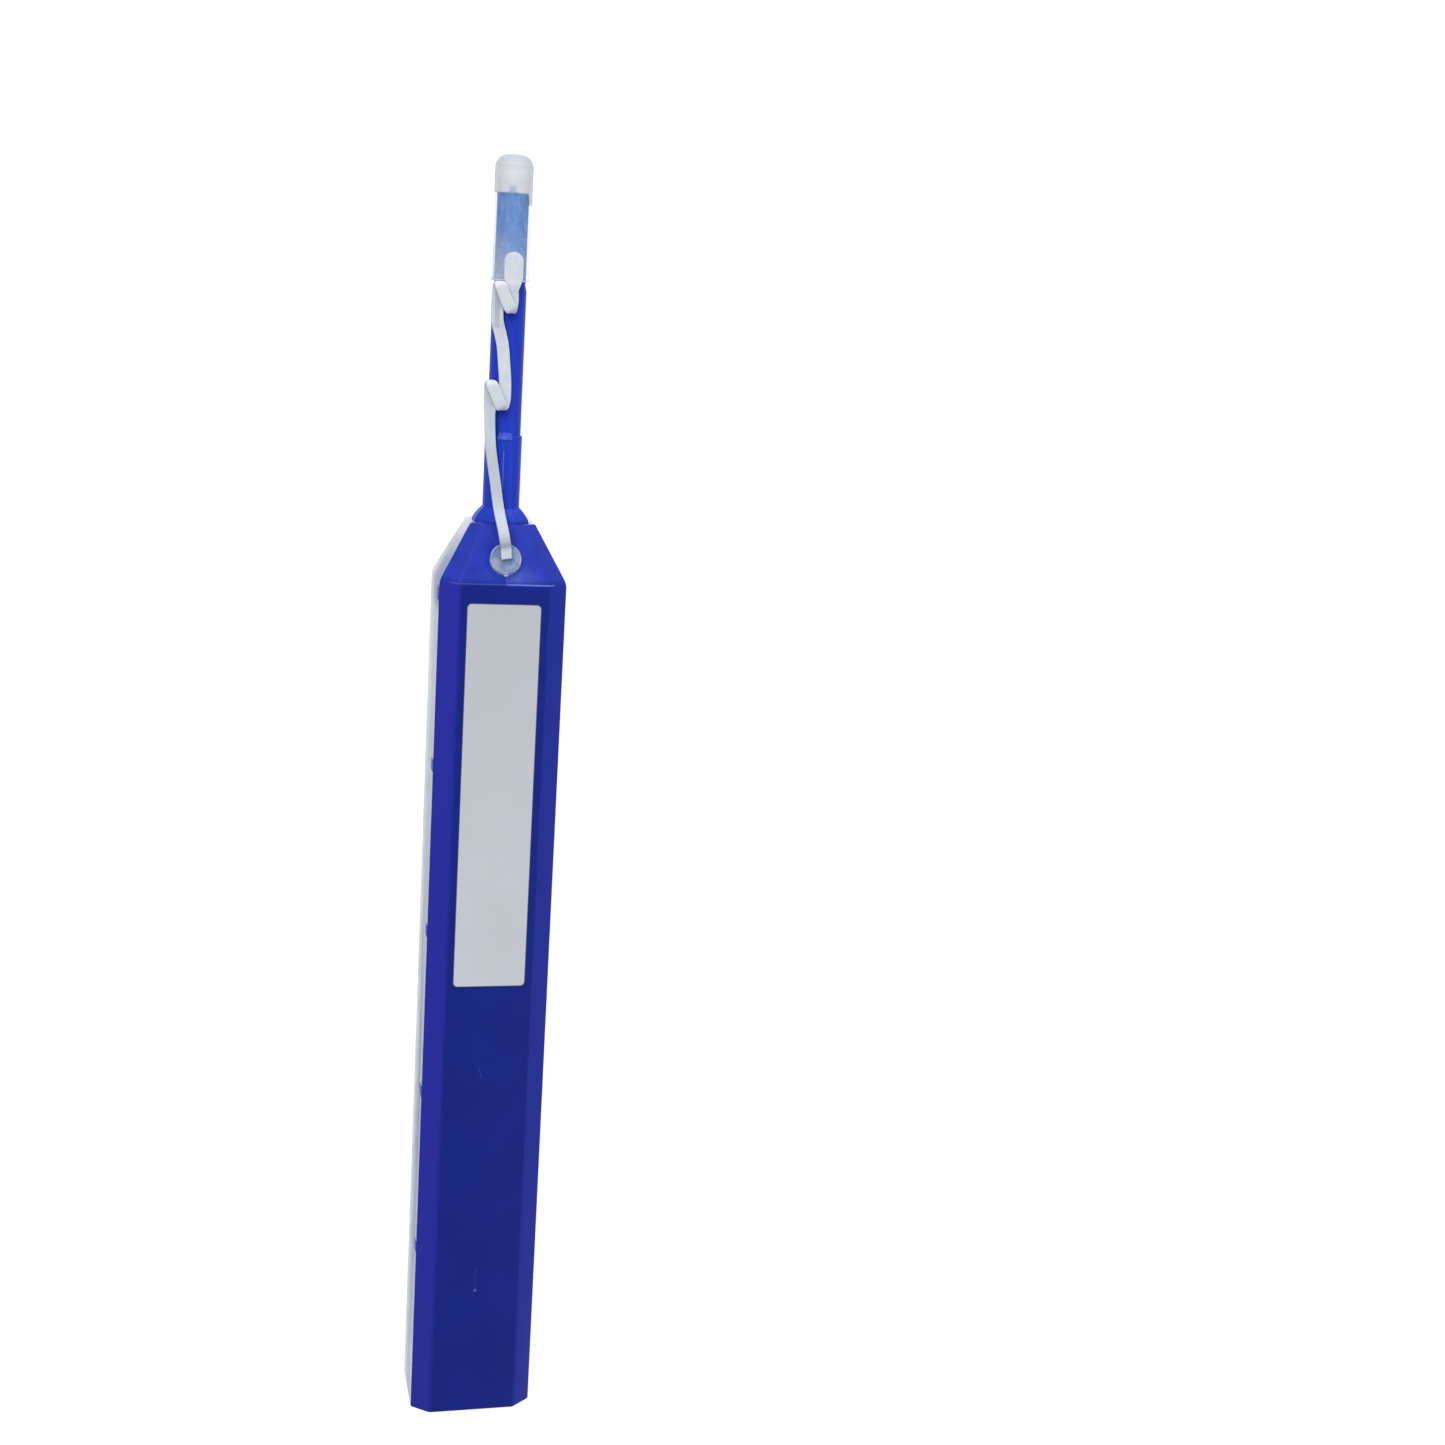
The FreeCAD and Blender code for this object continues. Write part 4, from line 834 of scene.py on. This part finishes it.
# ---- cap, button, tether
class PEN_OT_cap(bpy.types.Operator):
    """Milky cap with a rounded crown, a rim and a small gate dimple"""
    bl_idname = "pen.cap"
    bl_label = "Cap"

    def execute(self, context):
        radius, bore, top, rim, crown, lid = 2.8, 2.35, CAP_HIGH.y, CAP_LOW.y, 1.9, 1.4
        profile = [(0.001, top - 0.04), (0.3, top - 0.04), (0.36, top)]
        profile += arc(radius - crown, top - crown, crown, 90, 0, 14)
        profile += [(radius, rim + 0.95), (radius + 0.04, rim + 0.8)]
        profile += arc(radius + 0.07, rim + 0.5, 0.18, 80, 0, 3) + arc(radius + 0.07, rim + 0.18, 0.18, 0, -90, 4)
        profile += [(bore + 0.06, rim), (bore, rim + 0.06), (bore, top - lid - 0.6)]
        profile += arc(bore - 0.6, top - lid - 0.6, 0.6, 0, 90, 5) + [(0.001, top - lid)]
        cap = dress(add_mesh("cap", *lathe(profile, steps=96)), "cap", 40.0)
        seat(cap, "cap", "protective_cap")
        return {"FINISHED"}


def slope_frame():
    """Seat of the button on the sloped facet, and the facet's normal and downhill directions."""
    fall = FRONT_Z - AXIS_Z - MOUTH_HALF
    run = MOUTH_Y - SHOULDER_Y
    normal = Vector((0, fall, run)).normalized()
    along = Vector((0, run, -fall)).normalized()
    return Vector((0, BUTTON_Y, FRONT_Z - (BUTTON_Y - SHOULDER_Y) * fall / run)), normal, along


def on_slope(verts, faces):
    """A shape made round the Y axis, moved so that Y stands on the button's seat."""
    place, normal, along = slope_frame()
    return [place + Vector((v.x, 0, 0)) + along * v.z + normal * v.y for v in verts], faces


class PEN_OT_button(bpy.types.Operator):
    """Round button with a raised rim and a gate nub, plugged into the shoulder"""
    bl_idname = "pen.button"
    bl_label = "Tether Button"

    def execute(self, context):
        r, h = BUTTON_RADIUS, BUTTON_HEIGHT
        profile = [(0.001, -1.8), (STEM_RADIUS - 0.05, -1.8), (STEM_RADIUS, -1.7), (STEM_RADIUS, 0.0), (r - 0.12, 0.0)]
        profile += arc(r - 0.14, 0.14, 0.14, -90, 0, 3) + arc(r - 0.16, h - 0.16, 0.16, 0, 90, 4)
        profile += [(r - 0.3, h), (r - 0.36, h - 0.05), (r - 0.42, h - 0.14), (0.001, h - 0.15)]
        button = add_mesh("button", *on_slope(*lathe(profile, (0, 0), 72)))
        nub = skin([rectangle(-0.3, 0.35, y, -r - 0.25, 0.3 - r) for y in (h - 0.6, h - 0.2)])
        combine(button, soften(add_mesh("nub", *on_slope(*nub)), 0.08), "UNION")
        seat(dress(button, "button", 40.0), "casing", "tether_button")
        return {"FINISHED"}


def smooth_line(points, steps):
    """Points of a curve that passes through the given ones."""
    out = []
    for i in range(len(points) - 1):
        p0, p1, p2, p3 = (points[max(i - 1, 0)], points[i], points[i + 1], points[min(i + 2, len(points) - 1)])
        for step in range(steps):
            t = step / steps
            out.append(((-p0 + 3 * p1 - 3 * p2 + p3) * t ** 3 + (2 * p0 - 5 * p1 + 4 * p2 - p3) * t ** 2
                        + (p2 - p0) * t + 2 * p1) / 2)
    return out + [points[-1]]


def ribbon(name, line, widths, thicknesses):
    """Strap along a line, with its width and thickness given at each point."""
    rings = []
    last = len(line) - 1
    for i, here in enumerate(line):
        along = (line[min(i + 1, last)] - line[max(i - 1, 0)]).normalized()
        run = line[min(i + 3, last)] - line[max(i - 3, 0)]
        side = Vector((run.y, -run.x, 0)) if run.y > 0 else Vector((-run.y, run.x, 0))
        side = (side.normalized() if side.length > 0.5 else Vector((1, 0, 0))) + Vector((0.6, 0, 0))
        side = (side - along * side.dot(along)).normalized()
        up = side.cross(along)
        half, thick = widths[i] / 2, thicknesses[i] / 2
        corner = [here + side * a * half + up * b * thick for a, b in ((1, -1), (1, 1), (-1, 1), (-1, -1))]
        rings.append(rounded(corner, [0.17] * 4, 4))
    strap = dress(add_mesh(name, *skin(rings)), "tether", 60.0)
    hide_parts("cap_tether")
    return strap


# The strap's runs, as x, y and the rise above its lowest level over the tube.
STRAP_LOW = 2.85
UPPER_RUN = (
    (0.12, 79.2, 0.2), (0.1, 77.4, 0), (0.0, 76.4, 0), (-0.02, 75.95, 0.12), (0.0, 75.7, 0.6), (-0.12, 75.95, 1.08),
    (-0.5, 76.4, 1.2), (-1.1, 77.6, 1.2), (-1.65, 78.9, 1.2), (-1.95, 79.5, 1.08), (-2.05, 79.75, 0.6),
    (-2.05, 79.45, 0.12), (-2.03, 78.8, 0), (-2.1, 77.0, 0), (-2.0, 74.4, 0), (-1.45, 72.3, 0), (-1.05, 70.6, 0),
    (-0.75, 68.0, 0), (-0.5, 65.5, 0), (-0.45, 63.2, 0), (-0.6, 62.3, 0), (-0.72, 61.85, 0.12), (-0.85, 61.65, 0.6),
    (-1.05, 61.9, 1.08), (-1.35, 62.4, 1.2), (-1.8, 63.4, 1.2), (-2.35, 64.6, 1.2), (-2.6, 65.2, 1.08),
    (-2.68, 65.5, 0.6), (-2.7, 65.2, 0.12), (-2.66, 64.5, 0), (-2.6, 62.0, 0), (-2.55, 60.0, 0), (-2.46, 58.1, 0.1))
LOWER_RUN = (UPPER_RUN[-1], (-2.25, 55.5, 0.4), (-1.55, 51.1, 1.0), (-0.95, 47.0, 2.0))


class PEN_OT_tether(bpy.types.Operator):
    """Flat strap from the cap's tab, folded twice, down to the button"""
    bl_idname = "pen.tether"
    bl_label = "Tether"

    def execute(self, context):
        place, normal, along = slope_frame()
        width, thick = sizes_of("strap_width"), sizes_of("strap_thickness")
        low, high, mid = [AXIS_Z + STRAP_LOW + rise for rise in (0, 1.2, 0.6)]
        end = place + normal * (BUTTON_HEIGHT + thick / 2)
        root, root_top = 1.4, 84.2
        upper = [(0.1, y, 10.87) for y in (root_top - 0.02, 83.9, 83.4, 82.8, 81.5)]
        upper += [(0.1, 80.3, 10.95)] + [(x, y, low + rise) for x, y, rise in UPPER_RUN]
        lower = [(x, y, low + rise) for x, y, rise in LOWER_RUN]
        lower += [(-0.5, 44.0, end.z - 0.5), (-0.25, 42.6, end.z - 0.1)]
        upper = smooth_line([Vector(p) for p in upper], 4)
        reach = end - along * 0.1 + Vector((0.1, 0, 0))
        lower = smooth_line([Vector(p) for p in lower] + [end + along * 1.6, end + along * 0.6, reach], 6)
        spans, depths = [], []
        for point in upper:
            off = root_top - point.y
            tab = 2 * math.sqrt(max(root ** 2 - (root - min(off, root)) ** 2, 0.01))
            share = min(max((80.5 - point.y) / 1.7, 0.0), 1.0) if point.x > -1.0 else 1.0
            share = share * share * (3 - 2 * share)
            bend = 1.0 - min(abs(point.z - mid) / (high - mid), 1.0) if share == 1.0 else 0.0
            wide = width * (1.12 - 0.45 * bend) if point.y > 61.0 else width
            spans.append(blend(tab, wide, share))
            depths.append(blend(0.76, thick, share))
        top = ribbon("tether_upper", upper, spans, depths)
        bottom = ribbon("tether_lower", lower, [width] * len(lower), [thick] * len(lower))
        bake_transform(top)
        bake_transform(bottom)
        return {"FINISHED"}


# ---- mechanism
def smooth_copy(node, finish, body):
    """Smoothly shaded copy of a CAD node."""
    copy = dress(packed_copy(node, node + "_smooth"), finish)
    seat(copy, body, node)
    return copy


class PEN_OT_mechanism(bpy.types.Operator):
    """Carriage, cam barrel, spindle, reels and pinion with moulded finishes"""
    bl_idname = "pen.mechanism"
    bl_label = "Mechanism"

    def execute(self, context):
        for body, finish, *nodes in (
            ("carriage", "white_acetal", "carriage_frame", "ratchet_pawl"),
            ("cam", "white_acetal", "cam_barrel"),
            ("cam", "grey_acetal", "spring_seat"),
            ("spindle", "white_acetal", "tip_spindle"),
            ("spindle", "grey_acetal", "cleaning_tip"),
            ("feed_gear", "grey_acetal", "drive_gear"),
            ("takeup", "white_acetal", "takeup_reel"),
            ("supply", "white_acetal", "supply_reel"),
            ("carriage", "steel", "thread_guide_pin"),
            ("carriage", "thread", "thread_supply_run", "thread_return_run"),
            ("spindle", "thread", "thread_tip_loop"),
        ):
            for node in nodes:
                smooth_copy(node, finish, body)
        # The washer lies a hair above the reel, so that the reel turns without touching it.
        washer = smooth_copy("drag_washer", "steel", "carriage")
        washer.data.transform(Matrix.Translation((0, 0, 0.02 * MM)))
        return {"FINISHED"}


class PEN_OT_springs(bpy.types.Operator):
    """Round-wire springs with closed end turns"""
    bl_idname = "pen.springs"
    bl_label = "Springs"

    def execute(self, context):
        for node, body, outside, wire, turns, joint, keep in (
            ("return_spring", "casing", 7.0, 0.7, 7.0, "push_stroke", 0.72),
            ("tip_spring", "cam", 4.3, 0.35, 5.0, "tip_float", 0.89),
        ):
            low, high = corners(node)
            spring = RECIPES["coil"].make(
                node + "_wire", Matrix.Translation((0, low.y, AXIS_Z)), outside=outside, wire=wire, turns=turns,
                length=high.y - low.y, close_turns=1.0, steps=int(turns * 40), sides=12, uneven=0.0,
                finish=FINISHES["steel"])
            seat(spring, body, node)
            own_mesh(spring)
        return {"FINISHED"}


class PEN_OT_thread(bpy.types.Operator):
    """Fresh and used thread wound on their reels"""
    bl_idname = "pen.thread"
    bl_label = "Thread"

    def execute(self, context):
        wire, hub, turns, lip = 0.36, 2.62, 9.4, 0.03
        for node, body in (("used_thread_winding", "takeup"), ("fresh_thread_winding", "supply")):
            low, high = corners(node)
            middle = (low + high) / 2
            radius, depth = (high.x - low.x) / 2, high.z - low.z
            stand = Matrix.Translation((middle.x, middle.y, low.z)) @ Matrix.Rotation(math.pi / 2, 4, "X")
            wound = RECIPES["coil"].make(
                node + "_turns", stand, outside=2 * radius, wire=wire, turns=turns, length=depth, close_turns=0.0,
                steps=int(turns * 36), sides=8, uneven=0.12, finish=FINISHES["thread"])
            seat(wound, body, node)
            edge, top = radius - wire * 0.6, depth - lip
            verts, faces = lathe([(hub, lip), (edge, lip), (edge, top), (hub, top), (hub, lip)], (0, 0), 64)
            core = add_mesh(node + "_core", [stand @ v for v in verts], faces[:-2])
            seat(dress(core, "thread"), body, node)
        return {"FINISHED"}


# ---- stage
def area_light(name, place, size, power):
    """A lamp at a place in metres that looks at the pen's middle."""
    data = bpy.data.lights.new(name, "AREA")
    data.shape = "RECTANGLE"
    data.size, data.size_y = size
    data.energy = power
    light = linked(name, data)
    light.location = place
    light.rotation_euler = (-light.location).to_track_quat("-Z", "Y").to_euler()


def seen_rays(tree):
    """1 for the rays that show a surface or what lies behind glass and gloss, 0 for those that light it."""
    path = tree.node("ShaderNodeLightPath").outputs
    seen = Maths(tree, path["Is Camera Ray"])
    for kind in ("Is Glossy Ray", "Is Transmission Ray"):
        seen = seen.over(Maths(tree, path[kind]))
    return seen


class PEN_OT_stage(bpy.types.Operator):
    """Pale floor, soft studio lamps and the camera"""
    bl_idname = "pen.stage"
    bl_label = "Stage"

    def execute(self, context):
        scene = context.scene
        scene.view_settings.view_transform = "Standard"
        half, lit = 3.0 / MM, 0.36
        cover = Finish("pale_floor", Base_Color=(0.42, 0.42, 0.43), Roughness=0.9, Specular_IOR_Level=0.1)
        glow = cover.node("ShaderNodeEmission", {"Color": (1, 1, 1), "Strength": 0.76})
        both = cover.node("ShaderNodeAddShader", {0: cover.shader, 1: glow})
        choice = cover.node("ShaderNodeMixShader", {0: seen_rays(cover), 1: cover.shader, 2: both})
        cover.plug(cover.tree.nodes["Material Output"].inputs[0], choice)
        flat = [(-half, -half, 0), (half, -half, 0), (half, half, 0), (-half, half, 0)]
        floor = add_mesh("floor", flat, [(0, 1, 2, 3)])
        floor.data.materials.append(cover.material)

        scene.world = bpy.data.worlds.new("studio")
        scene.world.use_nodes = True
        sky = Tree(scene.world.node_tree)
        background = sky.tree.nodes["Background"].inputs
        sky.plug(background["Color"], (0.98, 0.99, 1.0))
        sky.plug(background["Strength"], lit + seen_rays(sky) * (1 - lit))
        area_light("key", (-0.55, 0.8, 0.9), (0.6, 0.6), 11.0)
        area_light("crest", (0.2, 1.25, 0.32), (0.8, 0.25), 8.0)
        area_light("fill", (0.8, -0.5, 0.9), (0.8, 0.8), 5.0)

        data = bpy.data.cameras.new("camera")
        data.lens, data.sensor_width, data.clip_start = 52.32, 36.0, 0.01
        camera = linked("camera", data)
        camera.location = Vector((-44.31, 83.51, 321.52)) * MM
        camera.rotation_euler = [math.radians(a) for a in (-13.032, -13.648, 3.724)]
        scene.camera = camera
        return {"FINISHED"}


# ---- settings and panel
def length(name, description, size):
    """A length of the panel, given in millimetres."""
    return FloatProperty(name=name, description=description, unit="LENGTH", min=0.0, precision=5, default=size * MM)


def colour(name, description, *display):
    """A colour of the panel, given as display values of 0 to 255."""
    return FloatVectorProperty(name=name, description=description, subtype="COLOR", min=0, max=1,
                               default=linear(display))


class PenSizes(bpy.types.PropertyGroup):
    shoulder_round: length("Shoulder Round", "Half length of the shoulder's rounding", 0.7)
    front_round: length("Front Round", "Radius of the front long edges", 0.9)
    rear_round: length("Rear Round", "Radius of the rear long edges", 0.8)
    seam_round: length("Seam Round", "Radius where the bevel meets the side", 0.25)
    tail_round: length("Tail Round", "Radius round the tail", 0.55)
    edge_round: length("Edge Round", "Rounding of the moulded edges", 0.07)
    label_corner: length("Label Corner", "Radius of the label's corners", 0.75)
    label_border: length("Label Border", "Width of the dark line round the label", 0.12)
    strap_width: length("Strap Width", "Width of the tether", 1.6)
    strap_thickness: length("Strap Thickness", "Thickness of the tether", 0.5)


class PenColours(bpy.types.PropertyGroup):
    casing_face: colour("Casing Face", "Blue of the flat front face", 17, 33, 119)
    # Painted light: the sloped shoulder as a lit copy of the face's blue.
    casing_slope_lit: colour("Casing Slope", "Blue of the sloped shoulder", 33, 50, 152)
    # Painted light: lit copies of the face's blue on the bevels, the left one lighter.
    casing_left_lit: colour("Casing Left Bevel", "Blue of the left bevel", 39, 46, 158)
    casing_right_lit: colour("Casing Right Bevel", "Blue of the right bevel", 30, 44, 148)
    # Pale blue of real mould marks and a scratch, also used for painted highlights and a painted reflection.
    scuff_and_highlight: colour("Scuff", "Pale blue of rubbed edges and mould marks", 110, 128, 215)
    nozzle: colour("Nozzle", "Blue of the sleeve and tube", 29, 54, 173)
    nozzle_base: colour("Nozzle Base", "Blue of the nozzle's base", 31, 50, 158)
    polyethylene: colour("Polyethylene", "Milky colour of cap, strap and button", 213, 217, 222)
    polyethylene_cool: colour("Polyethylene Cool", "Cooler patches of the polyethylene", 200, 207, 218)
    cap_skirt: colour("Cap Skirt", "Tint of the thin skirt over the nozzle", 160, 211, 255)
    clear: colour("Clear Moulding", "Tint of the frosted rear half", 240, 245, 252)
    # Painted highlight along the parting line, also used to pale the mouth.
    clear_edge_highlight: colour("Clear Edge", "Frosted rear half along the parting line", 248, 251, 255)
    clear_deep: colour("Clear Deep", "Frosted rear half with the blue behind it", 138, 167, 216)
    button: colour("Button", "Milky colour of the thin button", 128, 170, 217)
    label: colour("Label", "Colour of the bare label film", 192, 197, 204)
    label_border: colour("Label Border", "Line round the label", 70, 76, 110)
    white_acetal: colour("White Acetal", "Natural moulded parts inside", 222, 222, 216)
    grey_acetal: colour("Grey Acetal", "Grey moulded parts inside", 120, 126, 132)
    steel: colour("Steel", "Drawn steel wire", 196, 198, 202)
    thread: colour("Thread", "Cleaning thread", 236, 236, 230)


STEPS = (PEN_OT_stage, PEN_OT_front_shell, PEN_OT_rear_shell, PEN_OT_label, PEN_OT_nozzle, PEN_OT_cap,
         PEN_OT_button, PEN_OT_tether, PEN_OT_mechanism, PEN_OT_springs, PEN_OT_thread)


class PEN_PT_panel(bpy.types.Panel):
    bl_label = "Cleaning Pen"
    bl_idname = "PEN_PT_panel"
    bl_space_type = "VIEW_3D"
    bl_region_type = "UI"
    bl_category = "Cleaning Pen"

    def draw(self, context):
        for step in STEPS:
            self.layout.operator(step.bl_idname)
        for group in (context.scene.pen_sizes, context.scene.pen_colours):
            for key in group.__annotations__:
                self.layout.prop(group, key)


CLASSES = (PenSizes, PenColours, *STEPS, PEN_PT_panel)


def register():
    for item in CLASSES:
        bpy.utils.register_class(item)
    bpy.types.Scene.pen_sizes = PointerProperty(type=PenSizes)
    bpy.types.Scene.pen_colours = PointerProperty(type=PenColours)


def unregister():
    del bpy.types.Scene.pen_colours
    del bpy.types.Scene.pen_sizes
    for item in reversed(CLASSES):
        bpy.utils.unregister_class(item)


def main():
    register()
    FINISHES.update(make_finishes())
    RECIPES.update(coil=coil_recipe(), row=row_recipe())
    for step in STEPS:
        getattr(bpy.ops.pen, step.bl_idname.split(".")[1])()


if __name__ == "__main__":
    main()
